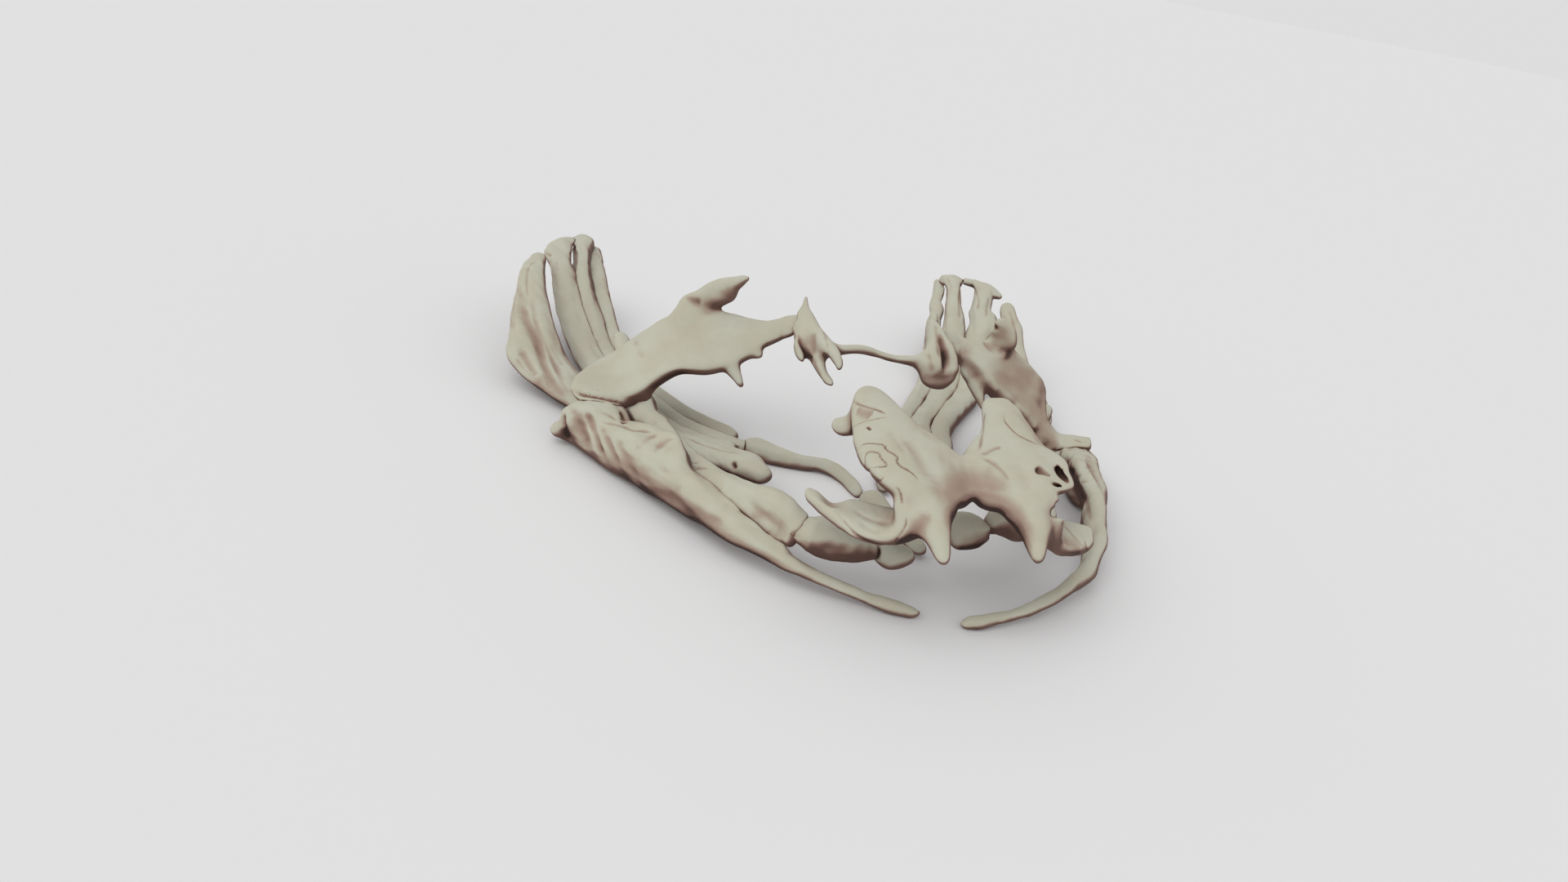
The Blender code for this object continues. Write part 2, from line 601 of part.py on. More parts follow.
# Gill bars, from the floor of the mouth back and up; the first is a broad flared plate
GILL_BARS = {
    "right": (
        (
            (6.3, -7.60, 1.05, 0.48, 0.60),
            (7.0, -6.20, 0.90, 0.55, 1.10),
            (8.2, -4.50, 0.50, 0.50, 0.95),
            (9.6, -2.70, 0.10, 0.48, 0.70),
            (11.5, -0.40, -0.25, 0.46, 0.85),
            (13.4, 1.60, -0.20, 0.50, 1.15),
            (15.2, 3.60, 0.10, 0.62, 1.45),
            (16.4, 5.30, 0.70, 0.65, 1.70),
            (16.8, 7.20, 1.70, 0.60, 1.35),
            (16.9, 9.50, 2.70, 0.55, 1.00),
            (16.8, 11.7, 3.40, 0.48, 0.78),
            (16.5, 13.2, 3.90, 0.38, 0.55),
        ),
        (
            (7.0, -3.10, -0.05, 0.58, 0.50),
            (8.1, -2.40, -0.25, 0.58, 0.48),
            (9.4, -1.20, -0.30, 0.60, 0.48),
            (10.5, 0.20, -0.35, 0.60, 0.54),
            (12.2, 3.80, -0.35, 0.62, 0.66),
            (13.4, 6.90, -0.15, 0.64, 0.74),
            (14.4, 10.1, 1.00, 0.64, 0.76),
            (14.9, 12.2, 2.40, 0.60, 0.72),
            (15.1, 14.4, 3.30, 0.52, 0.72),
            (15.1, 16.2, 3.80, 0.40, 0.80),
        ),
        (
            (6.4, -2.30, -0.15, 0.55, 0.42),
            (7.3, -1.60, -0.25, 0.56, 0.42),
            (8.5, -0.50, -0.30, 0.58, 0.42),
            (9.8, 1.20, -0.35, 0.60, 0.46),
            (11.6, 5.00, -0.35, 0.60, 0.54),
            (12.7, 8.40, 0.00, 0.62, 0.62),
            (13.3, 10.6, 1.20, 0.60, 0.62),
            (13.7, 13.0, 2.30, 0.58, 0.60),
            (13.8, 15.4, 3.20, 0.50, 0.60),
            (13.6, 17.5, 3.80, 0.40, 0.64),
        ),
        (
            (6.3, -0.95, -0.25, 0.48, 0.36),
            (7.9, 0.80, -0.35, 0.55, 0.38),
            (9.2, 2.30, -0.35, 0.60, 0.42),
            (10.8, 6.20, -0.35, 0.60, 0.52),
            (11.8, 9.30, 0.10, 0.58, 0.60),
            (12.4, 12.4, 1.45, 0.55, 0.60),
            (12.6, 15.6, 2.40, 0.48, 0.54),
            (12.6, 18.3, 3.05, 0.34, 0.42),
        ),
    ),
    "left": (
        (
            (6.4, -5.80, 1.00, 0.48, 0.60),
            (7.2, -4.90, 0.85, 0.55, 0.90),
            (8.2, -3.70, 0.50, 0.50, 0.85),
            (9.5, -2.40, 0.10, 0.48, 0.70),
            (10.9, -0.60, -0.20, 0.45, 0.70),
            (12.1, 1.40, -0.20, 0.50, 0.95),
            (13.3, 3.40, 0.10, 0.62, 1.40),
            (13.8, 6.00, 0.85, 0.62, 1.10),
            (14.1, 8.80, 1.80, 0.58, 0.80),
            (14.6, 11.0, 2.80, 0.50, 0.75),
            (14.7, 12.5, 3.80, 0.36, 0.55),
        ),
        (
            (5.9, -1.20, -0.25, 0.52, 0.50),
            (6.6, 1.20, -0.30, 0.60, 0.60),
            (8.7, 4.20, -0.35, 0.60, 0.68),
            (10.7, 6.90, -0.20, 0.62, 0.74),
            (12.0, 10.0, 1.30, 0.62, 0.78),
            (12.8, 12.3, 2.45, 0.60, 0.78),
            (13.8, 14.6, 3.30, 0.52, 0.72),
            (14.4, 16.2, 3.80, 0.40, 0.70),
        ),
        (
            (4.6, -0.60, -0.25, 0.50, 0.44),
            (5.4, 1.70, -0.30, 0.58, 0.50),
            (7.0, 4.00, -0.35, 0.60, 0.56),
            (9.4, 7.90, -0.20, 0.62, 0.64),
            (10.3, 10.2, 1.20, 0.60, 0.64),
            (11.0, 12.4, 2.30, 0.58, 0.60),
            (11.8, 15.0, 3.20, 0.50, 0.52),
            (12.4, 17.0, 3.80, 0.38, 0.55),
        ),
        (
            (4.1, 2.00, -0.30, 0.50, 0.40),
            (5.6, 4.10, -0.35, 0.58, 0.46),
            (8.1, 8.30, -0.25, 0.60, 0.52),
            (9.3, 11.4, 0.90, 0.54, 0.50),
            (10.3, 14.4, 1.90, 0.50, 0.46),
            (11.2, 17.0, 2.70, 0.44, 0.42),
            (11.8, 18.7, 3.20, 0.34, 0.38),
        ),
    ),
}
# The second and third bars spread at their tops into cross pieces that almost meet
BAR_TOPS = {
    "right": {
        2: ((15.9, 15.3, 3.60, 0.30, 0.32), (15.2, 16.2, 3.85, 0.42, 0.45), (14.5, 17.2, 3.90, 0.34, 0.36)),
        3: ((14.0, 17.8, 3.90, 0.34, 0.34), (13.4, 17.8, 3.85, 0.42, 0.42), (12.9, 17.6, 3.70, 0.28, 0.32)),
    },
    "left": {
        2: ((15.4, 15.3, 3.60, 0.30, 0.32), (14.5, 16.2, 3.85, 0.42, 0.42), (13.5, 17.0, 3.90, 0.34, 0.34)),
        3: ((13.1, 17.3, 3.90, 0.32, 0.32), (12.4, 17.4, 3.88, 0.38, 0.38), (11.6, 17.6, 3.85, 0.26, 0.28)),
    },
}


def make_gill_arches(side, material):
    bones = []
    for name, stations in TONGUE_ARCH[side].items():
        faces = TONGUE_BAND_FACES if name == "ceratohyal" else SMALL_FACES
        bones.append(fuse(f"{name}_{side}", [bar(stations)], material, faces))
    bones.append(fuse(f"hypobranchial_{side}", [bar(HYPOBRANCHIAL)], material, SMALL_FACES))
    for number, stations in enumerate(GILL_BARS[side], start=1):
        pieces = [bar(stations)]
        if number in BAR_TOPS[side]:
            pieces.append(bar(BAR_TOPS[side][number]))
        faces = BROAD_BAR_FACES if number == 1 else BAR_FACES
        bones.append(fuse(f"ceratobranchial_{number}_{side}", pieces, material, faces))
    return bones


# Two thin pins rise from the tongue arch and hold up the snout, which touches nothing else
PINS = {
    "right": (-1.75, -13.60, 0.90, 6.10),
    "left": (4.20, -12.75, 2.00, 6.20),
}


def make_pin(side, material):
    x, y, foot, head = PINS[side]
    bpy.ops.mesh.primitive_cylinder_add(vertices=PIN_SIDES, radius=PIN_RADIUS, depth=head - foot,
                                        location=(x, y, (foot + head) / 2))
    pin = bpy.context.object
    pin.data.transform(pin.matrix_world)
    pin.matrix_world = Matrix.Identity(4)
    pin.name = f"stand_pin_{side}"
    pin.data.name = pin.name
    pin.data.materials.append(material)
    return pin


# Which bone gives way where two of them meet
JOINTS = (
    ("suspensorium_{}", "occipital_bridge"),
    ("meckel_{}", "suspensorium_{}"),
    ("ceratohyal_{}", "suspensorium_{}"),
    ("ceratohyal_{}", "meckel_{}"),
    ("hypohyal_{}", "ceratohyal_{}"),
    ("hypohyal_knob_{}", "hypohyal_{}"),
    ("ceratobranchial_1_{}", "ceratohyal_{}"),
    ("ceratobranchial_2_{}", "ceratobranchial_1_{}"),
    ("ceratobranchial_3_{}", "ceratobranchial_2_{}"),
    ("ceratobranchial_4_{}", "ceratobranchial_3_{}"),
    ("hypobranchial_{}", "ceratobranchial_2_{}"),
    ("hypobranchial_{}", "ceratobranchial_3_{}"),
    ("hypobranchial_{}", "ceratobranchial_4_{}"),
    ("stand_pin_{}", "hypohyal_{}"),
    ("stand_pin_{}", "hypohyal_knob_{}"),
    ("stand_pin_{}", "ethmoid"),
)


def settle(bones, model):
    """Rests the lowest bones on small flats and stands the model on the floor, in metres."""
    for bone in bones:
        for vert in bone.data.vertices:
            vert.co.z = max(vert.co.z, FLOOR)
    corners = [vert.co for bone in bones for vert in bone.data.vertices]
    middle = [(min(c[axis] for c in corners) + max(c[axis] for c in corners)) / 2 for axis in (0, 1)]
    jaw_axis = bpy.data.objects.new("jaw_axis", None)
    jaw_axis.location = Vector((-middle[0], -middle[1], -FLOOR)) * METRE
    model.objects.link(jaw_axis)
    for bone in bones:
        bone.data.transform(Matrix.Scale(METRE, 4))
        bone.parent = jaw_axis
        for group in list(bone.users_collection):
            group.objects.unlink(bone)
        model.objects.link(bone)


def main():
    clear_scene()
    model = make_collection("axolotl_head_skeleton")
    cartilage = make_material("cartilage", CARTILAGE, CARTILAGE_ROUGHNESS)
    steel = make_material("steel", STEEL, STEEL_ROUGHNESS, metallic=1.0)
    skull = [make_bridge(cartilage), make_snout(cartilage)]
    bones = []
    for side, sign in SIDES.items():
        plate = make_jaw_plate(side, cartilage)
        own = [make_jaw(side, cartilage), plate, *make_gill_arches(side, cartilage)]
        if sign < 0:
            for bone in own:
                bone.data.transform(Matrix.Scale(-1, 4, (1, 0, 0)))
                bone.data.flip_normals()
        skull.append(plate)
        bones += [bone for bone in own if bone is not plate]
    for bone in skull:
        bone.data.transform(Matrix.Rotation(SKULL_ROLL, 4, "Y"))
    bones += skull
    bones.append(fuse("basibranchial", [bar(BASIBRANCHIAL)], cartilage, SMALL_FACES))
    bones += [make_pin(side, steel) for side in SIDES]
    named = {bone.name: bone for bone in bones}
    for bone, neighbour in JOINTS:
        for side in SIDES:
            fit(named[bone.format(side)], named[neighbour.format(side)])
    settle(bones, model)


main()
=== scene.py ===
"""The cartilage of an axolotl's head as a life-size museum model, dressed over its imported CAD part."""

from math import radians

import bpy
import numpy as np
from mathutils import Euler, Matrix, Vector, noise
from mathutils.bvhtree import BVHTree


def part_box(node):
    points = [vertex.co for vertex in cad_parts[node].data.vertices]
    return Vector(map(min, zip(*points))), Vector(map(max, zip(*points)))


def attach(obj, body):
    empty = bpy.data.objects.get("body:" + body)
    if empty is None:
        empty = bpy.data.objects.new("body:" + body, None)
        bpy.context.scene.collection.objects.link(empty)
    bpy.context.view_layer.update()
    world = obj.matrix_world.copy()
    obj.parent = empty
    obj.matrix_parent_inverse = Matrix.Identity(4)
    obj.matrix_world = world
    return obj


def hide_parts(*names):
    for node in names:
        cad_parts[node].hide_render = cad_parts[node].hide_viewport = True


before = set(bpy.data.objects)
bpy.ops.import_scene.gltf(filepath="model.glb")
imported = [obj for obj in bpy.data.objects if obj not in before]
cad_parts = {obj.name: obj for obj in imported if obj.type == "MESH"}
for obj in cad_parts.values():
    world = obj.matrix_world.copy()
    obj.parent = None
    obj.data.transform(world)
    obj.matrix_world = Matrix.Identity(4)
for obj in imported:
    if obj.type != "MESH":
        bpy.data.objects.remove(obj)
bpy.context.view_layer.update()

# The camera stands before the snout, on the animal's right, and looks down over the nose capsules
# at the jaws and the gill bars. Fine marks on the bones are placed through it, by the pixels of
# the photograph where they show.
PHOTO_SIZE = (1920, 1080)
CAMERA_PLACE = Vector((-0.01812, -0.0504, 0.0257))
CAMERA_TURN = Euler((radians(63.556), radians(-10.010), radians(-12.894)))
SENSOR_WIDTH = 36.0
LENS = 24.45
NEAREST = 0.001

bpy.ops.object.select_all(action="DESELECT")
bpy.ops.object.camera_add(location=CAMERA_PLACE, rotation=CAMERA_TURN)
camera = bpy.context.object
camera.data.sensor_width = SENSOR_WIDTH
camera.data.lens = LENS
camera.data.clip_start = NEAREST
bpy.context.scene.camera = camera


def line_of_sight(pixel):
    """The direction in which the camera sees one pixel of the photograph."""
    focal = LENS / SENSOR_WIDTH * PHOTO_SIZE[0]
    across = (pixel[0] - PHOTO_SIZE[0] / 2) / focal
    up = (PHOTO_SIZE[1] / 2 - pixel[1]) / focal
    return (CAMERA_TURN.to_matrix() @ Vector((across, up, -1))).normalized()


# The nose capsules and the plates round them are one bone, the ethmoid: thin, crisp shells of pale
# cartilage, pierced, cracked and ragged at the sides. A bone starts as a copy of its solid, with
# the facets rounded off and the skin made an even, fine net, and it is worked in millimetres.
PER_MM = 1000
EYE = CAMERA_PLACE * PER_MM
MERGE_WITHIN = 0.002
SKIN_STEP = 0.07
NOSE_SKIN_STEP = 0.06
SKIN_ROUNDS = 8
NOSE_TONE = 0.05

# Holes in the roof, in photograph pixels, with how deep each goes in millimetres
ROOF_HOLES = (
    # The window in the left capsule: a shallow part and a deep one
    (0.33, ((1268, 573), (1272, 568), (1280, 566), (1280, 580), (1271, 581), (1267, 578))),
    (1.00, ((1283, 566), (1288, 566), (1294, 571), (1297, 577), (1295, 581), (1290, 578), (1285, 574))),
    # Small ragged hole in front of it
    (1.60, ((1284, 588), (1289, 586), (1293, 588), (1292, 592), (1288, 593))),
    # Ragged gap where the left capsule has lost its corner
    (1.60, ((1325, 608), (1317, 612), (1312, 609), (1308, 613), (1303, 610), (1299, 614), (1295, 614),
            (1292, 617), (1292, 621), (1288, 623), (1286, 628), (1287, 633), (1302, 636), (1330, 638))),
    # Notch in the right capsule's edge
    (1.20, ((1046, 584), (1052, 580), (1060, 579), (1066, 576), (1067, 584), (1070, 592), (1060, 600))),
)

# How far round a place the skin is drawn out, in millimetres, and from which pixel to which
NOSE_PULLS = (
    # Outer wall of the left capsule
    (1.3, (1299, 580), (1312, 592)),
    (1.1, (1290, 560), (1299, 560)),
    # Side lobe of the right capsule
    (1.3, (1030, 513), (1030, 526)),
    # Right flange: its tip, and the edge behind it
    (0.8, (998, 604), (990, 603)),
    (0.8, (1020, 609), (1017, 618)),
    # Right horn
    (1.4, (1152, 679), (1155, 687)),
)

# Marks on the skin: how wide and how deep in millimetres, how much painted shade, and the pixels they
# follow
NOSE_MARKS = (
    # Right capsule: recess under the rear lip, edge of the lip, edge of the layer beside it, pit
    (0.50, 0.10, 0.26, ((1044, 501), (1052, 502), (1062, 504), (1072, 507))),
    (0.09, 0.12, 0.28, ((1040, 491), (1052, 494), (1066, 498), (1078, 502), (1088, 508))),
    (0.06, 0.06, 0.16, ((1041, 544), (1041, 532), (1044, 522), (1053, 517), (1068, 513),
                        (1080, 511), (1092, 509))),
    (0.07, 0.12, 0.90, ((1063, 523), (1065, 525))),
    # Long crack and the flake beside it
    (0.045, 0.12, 0.42, ((1048, 552), (1056, 543), (1068, 542), (1083, 544), (1085, 550),
                         (1096, 556), (1100, 560), (1098, 564), (1102, 570), (1112, 575),
                         (1120, 581), (1124, 587), (1129, 590))),
    (0.045, 0.09, 0.30, ((1058, 578), (1059, 568), (1058, 560), (1061, 554), (1067, 552),
                         (1077, 554), (1078, 560), (1086, 567), (1085, 571), (1074, 571),
                         (1066, 573), (1059, 578))),
    (0.045, 0.08, 0.30, ((1096, 594), (1102, 602), (1104, 612), (1105, 618))),
    (0.045, 0.05, 0.20, ((1074, 589), (1080, 588), (1081, 582))),
    # Broad low folds of the right roof
    (0.45, 0.10, 0.06, ((1100, 530), (1120, 550), (1136, 574), (1141, 594))),
    (0.30, 0.07, 0.05, ((1084, 524), (1100, 540), (1112, 558))),
    # Right flange: rolled rim, lengthwise lines and ragged seam with the horn
    (0.09, 0.09, 0.18, ((1024, 625), (1034, 638), (1042, 650), (1052, 659), (1068, 666),
                        (1080, 668), (1093, 667))),
    (0.14, 0.05, 0.03, ((1042, 622), (1058, 633), (1076, 640), (1094, 643))),
    (0.14, 0.05, 0.03, ((1050, 637), (1064, 648), (1082, 654))),
    (0.05, 0.07, 0.20, ((1109, 632), (1110, 641), (1106, 650), (1098, 660), (1095, 666))),
    # Root of the right horn, and painted shade in the hollow over the saddle's arch
    (0.35, 0.04, 0.35, ((1098, 672), (1108, 662), (1120, 652), (1134, 636), (1140, 622))),
    (0.45, 0.02, 0.55, ((1156, 650), (1160, 638), (1168, 626), (1182, 614), (1200, 608),
                        (1216, 612), (1230, 622), (1244, 636), (1254, 654), (1262, 672), (1268, 684))),
    (0.80, 0.00, 0.32, ((1148, 624), (1164, 604), (1188, 592), (1214, 596), (1234, 612))),
    (0.30, 0.02, 0.15, ((1206, 588), (1212, 574), (1222, 562))),
    # Left capsule: floor of the window, creases, layer edge beside the rear tab, inner edge of the
    # tab, and a broad low fold
    (0.20, 0.00, 0.22, ((1275, 571), (1275, 579))),
    (0.16, 0.08, 0.10, ((1199, 557), (1208, 554), (1216, 549), (1228, 546))),
    (0.16, 0.08, 0.12, ((1200, 558), (1216, 566), (1228, 576), (1234, 584), (1238, 590))),
    (0.06, 0.09, 0.28, ((1231, 504), (1229, 513), (1236, 522), (1246, 532), (1258, 538), (1275, 546))),
    (0.10, 0.08, 0.24, ((1206, 500), (1203, 518), (1202, 540), (1198, 554))),
    (0.50, 0.06, 0.04, ((1232, 560), (1250, 580), (1262, 606))),
    # Left flange: cross ridge, and painted shade on the foot
    (0.08, 0.05, 0.06, ((1298, 638), (1310, 650), (1320, 662), (1332, 672))),
    (0.40, 0.02, 0.26, ((1300, 662), (1310, 667), (1320, 672), (1328, 674))),
    (0.05, 0.06, 0.25, ((1329, 664), (1332, 674))),
)


def apply_modifier(piece, kind, **settings):
    """Adds a modifier with these settings and applies it."""
    modifier = piece.modifiers.new(kind.title(), kind)
    for name, value in settings.items():
        setattr(modifier, name, value)
    bpy.context.view_layer.objects.active = piece
    bpy.ops.object.modifier_apply(modifier=modifier.name)


def points(piece):
    """Where the piece's vertices are, as rows of three."""
    values = np.empty(len(piece.data.vertices) * 3, np.float32)
    piece.data.vertices.foreach_get("co", values)
    return values.reshape(-1, 3).astype(float)


def normals(piece):
    """Which way the skin faces at each vertex."""
    values = np.empty(len(piece.data.vertices) * 3, np.float32)
    piece.data.vertex_normals.foreach_get("vector", values)
    return values.reshape(-1, 3).astype(float)


def move(piece, places):
    """Puts the piece's vertices at these places."""
    piece.data.vertices.foreach_set("co", np.asarray(places, np.float32).ravel())
    piece.data.update()


def coarse_copy(node):
    """A copy of one CAD bone, in millimetres, with its loose triangles joined."""
    piece = bpy.data.objects.new("bone_" + node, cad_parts[node].data.copy())
    bpy.context.scene.collection.objects.link(piece)
    piece.data.materials.clear()
    piece.data.transform(Matrix.Scale(PER_MM, 4))
    bpy.ops.object.select_all(action="DESELECT")
    piece.select_set(True)
    bpy.context.view_layer.objects.active = piece
    bpy.ops.object.mode_set(mode="EDIT")
    bpy.ops.mesh.select_all(action="SELECT")
    bpy.ops.mesh.remove_doubles(threshold=MERGE_WITHIN)
    bpy.ops.object.mode_set(mode="OBJECT")
    return piece


def rounded_copy(node):
    """A copy of one CAD bone with its facets rounded off."""
    piece = coarse_copy(node)
    apply_modifier(piece, "SUBSURF", levels=1, render_levels=1)
    return piece


# The cutter of a hole starts this far before the skin, in millimetres
CUT_BEFORE = 0.5


def pierce(piece, holes):
    """Cuts holes of drawn outline into the skin, along the camera's line of sight."""
    bpy.context.view_layer.update()
    skin = BVHTree.FromObject(piece, bpy.context.evaluated_depsgraph_get())
    for depth, outline in holes:
        middle = Vector([sum(c) / len(outline) for c in zip(*outline)])
        hits = [skin.ray_cast(EYE, line_of_sight(pixel))[3] for pixel in (*outline, middle)]
        reached = sorted(distance for distance in hits if distance is not None)
        surface = reached[len(reached) // 2]
        count = len(outline)
        rings = [EYE + line_of_sight(pixel) * far
                 for far in (surface - CUT_BEFORE, surface + depth) for pixel in outline]
        sides = [(i, (i + 1) % count, count + (i + 1) % count, count + i) for i in range(count)]
        ends = [tuple(range(count)), tuple(range(count, 2 * count))]
        cutter_mesh = bpy.data.meshes.new("cutter")
        cutter_mesh.from_pydata(rings, [], sides + ends)
        cutter = bpy.data.objects.new("cutter", cutter_mesh)
        bpy.context.scene.collection.objects.link(cutter)
        bpy.ops.object.select_all(action="DESELECT")
        cutter.select_set(True)
        bpy.context.view_layer.objects.active = cutter
        bpy.ops.object.mode_set(mode="EDIT")
        bpy.ops.mesh.select_all(action="SELECT")
        bpy.ops.mesh.quads_convert_to_tris()
        bpy.ops.mesh.normals_make_consistent(inside=False)
        bpy.ops.object.mode_set(mode="OBJECT")
        apply_modifier(piece, "BOOLEAN", operation="DIFFERENCE", object=cutter, solver="EXACT")
        bpy.data.objects.remove(cutter)


def fine_skin(piece, step=SKIN_STEP):
    """Gives the piece an even net of small faces, without the facets."""
    apply_modifier(piece, "REMESH", mode="VOXEL", voxel_size=step)
    apply_modifier(piece, "SMOOTH", factor=0.5, iterations=SKIN_ROUNDS)


def pull(piece, pulls):
    """Draws the skin round a place sideways, from where one pixel shows it to another, and never
    below the table."""
    bpy.context.view_layer.update()
    skin = BVHTree.FromObject(piece, bpy.context.evaluated_depsgraph_get())
    places = points(piece)
    for reach, start, end in pulls:
        held, _, _, distance = skin.ray_cast(EYE, line_of_sight(start))
        shift = (line_of_sight(end) - line_of_sight(start)) * distance
        away = ((places - np.array(held)) ** 2).sum(1) / reach ** 2
        places += np.outer(np.clip(1 - away, 0, 1) ** 2, shift)
    places[:, 2] = np.maximum(places[:, 2], 0)
    move(piece, places)


# The wear is noise of two sizes: how strong and how fine the second is against the first, and how
# far apart the patches lie that different bones are worn by
FINE_WEAR = 0.4
FINER = 2.3
SEED_APART = 17.3


def weathered(piece, depth, across, along, run, seed):
    """Wears the skin in low swellings that are stretched along the way the bone runs."""
    run = Vector(run).normalized()
    places = points(piece)
    lengthwise = places @ np.array(run)
    scaled = places * across + np.outer(lengthwise * (along - across), run) + seed * SEED_APART
    swell = [noise.noise(row) + FINE_WEAR * noise.noise(row * FINER) for row in map(Vector, scaled)]
    move(piece, places + normals(piece) * (depth * np.array(swell))[:, None])


# A mark's points lie this many pixels apart, and this share of it fades out towards each end, down
# to this much. A mark of few points doesn't fade. It is worked out to so many widths from its line,
# and it fades on skin that turns away from the camera.
TRACE_STEP = 2.0
FADING_SHARE = 0.2
FADED = 0.1
FEW_POINTS = 6
MARK_REACH = 2.2
FACING_GAIN = 2.5
FACING_EDGE = 0.3


def softened(pixels):
    """The drawn line with its corners rounded, in even steps."""
    line = [Vector(pixel) for pixel in pixels]
    if len(line) > 2:
        rounded = [line[0]]
        for start, end in zip(line, line[1:]):
            rounded += [start.lerp(end, 0.25), start.lerp(end, 0.75)]
        line = rounded + [line[-1]]
    even = []
    for start, end in zip(line, line[1:]):
        steps = max(1, round((end - start).length / TRACE_STEP))
        even += [start.lerp(end, step / steps) for step in range(steps)]
    return even + [line[-1]]


def carve(piece, marks):
    """Cuts marks into the skin that the camera sees, and keeps the shade painted along them with the piece.
    """
    bpy.context.view_layer.update()
    skin = BVHTree.FromObject(piece, bpy.context.evaluated_depsgraph_get())
    places = points(piece)
    facing = normals(piece)
    toward = np.array(EYE) - places
    toward /= np.linalg.norm(toward, axis=1, keepdims=True)
    seen = np.clip((facing * toward).sum(1) * FACING_GAIN + FACING_EDGE, 0, 1)
    mark_shade = np.zeros(len(places))
    depths = np.zeros(len(places))
    for width, depth, painted_shade, pixels in marks:
        line = softened(pixels)
        along = np.linspace(0, 1, len(line))
        strength = np.clip(np.minimum(along, 1 - along) / FADING_SHARE, FADED, 1)
        if len(line) <= FEW_POINTS:
            strength[:] = 1
        hits = [skin.ray_cast(EYE, line_of_sight(pixel))[0] for pixel in line]
        struck = [i for i, hit in enumerate(hits) if hit is not None]
        track = np.array([hits[i] for i in struck])
        reach = MARK_REACH * width
        box = np.all((places > track.min(0) - reach) & (places < track.max(0) + reach), axis=1)
        inside = np.flatnonzero(box)
        gaps = ((places[inside, None, :] - track[None, :, :]) ** 2).sum(2)
        share = np.exp(-gaps.min(1) / width ** 2) * strength[struck][gaps.argmin(1)] * seen[inside]
        cut = depth * share
        depths[inside] = np.where(np.abs(cut) > np.abs(depths[inside]), cut, depths[inside])
        mark_shade[inside] = np.maximum(mark_shade[inside], painted_shade * share)
    move(piece, places - facing * depths[:, None])
    piece.data.attributes.new("mark_shade", "FLOAT", "POINT").data.foreach_set("value", mark_shade.astype(np.float32))


class Socket:
    """A value in a material's node tree. Maths on it adds the nodes that work it out."""

    def __init__(self, tree, output=None):
        self.tree = tree
        self.output = output

    def node(self, kind, settings=(), inputs=(), output=0):
        """Adds a node: its settings come first, and then what its sockets take."""
        node = self.tree.nodes.new(kind)
        for name, value in dict(settings).items():
            setattr(node, name, value)
        for name, value in dict(inputs).items():
            if isinstance(value, Socket):
                self.tree.links.new(value.output, node.inputs[name])
            else:
                node.inputs[name].default_value = value
        return Socket(self.tree, node.outputs[output])

    def maths(self, operation, first, second, clamp=False):
        settings = {"operation": operation, "use_clamp": clamp}
        return self.node("ShaderNodeMath", settings, {0: first, 1: second})

    def __add__(self, other):
        return self.maths("ADD", self, other)

    def __radd__(self, other):
        return self.maths("ADD", other, self)

    def __sub__(self, other):
        return self.maths("SUBTRACT", self, other)

    def __rsub__(self, other):
        return self.maths("SUBTRACT", other, self)

    def __mul__(self, other):
        return self.maths("MULTIPLY", self, other)

    def __rmul__(self, other):
        return self.maths("MULTIPLY", other, self)

    def held(self):
        """The value, kept from 0 to 1."""
        return self.maths("ADD", self, 0.0, clamp=True)

    def rise(self, low, high):
        """A soft step from 0 to 1 as the value goes from low to high."""
        settings = {"interpolation_type": "SMOOTHSTEP"}
        return self.node("ShaderNodeMapRange", settings, {0: self, 1: low, 2: high})

    def mixed(self, low, high):
        """From one colour to another as this value goes from 0 to 1."""
        return self.node("ShaderNodeMix", {"data_type": "RGBA"}, {0: self, 6: low, 7: high}, output=2)


# Pale and straw are the cartilage's own colours; tan, brown, umber and dark are painted shade.
PALE = (0.530, 0.525, 0.430, 1)
STRAW = (0.500, 0.475, 0.375, 1)
TAN = (0.375, 0.285, 0.222, 1)
BROWN = (0.225, 0.135, 0.108, 1)
UMBER = (0.118, 0.064, 0.050, 1)
DARK = (0.040, 0.020, 0.016, 1)
# From which amount of painted shade to which each colour comes in
TAN_COMES = (0.04, 0.40)
BROWN_COMES = (0.34, 0.66)
UMBER_COMES = (0.60, 0.88)
DARK_COMES = (0.86, 1.0)
# How fine the clouds and the grain are, how much each shifts the painted shade, and what the grain
# does to the surface
CLOUD_SCALE = 420.0
CLOUD_SHIFT = 0.12
GRAIN_SCALE = 5200.0
GRAIN_SHIFT = 0.06
GRAIN_HEIGHT = 0.00003
GRAIN_STRENGTH = 0.2
SMOOTHEST = 0.62
ROUGHER = 0.2
SHINE = 0.25


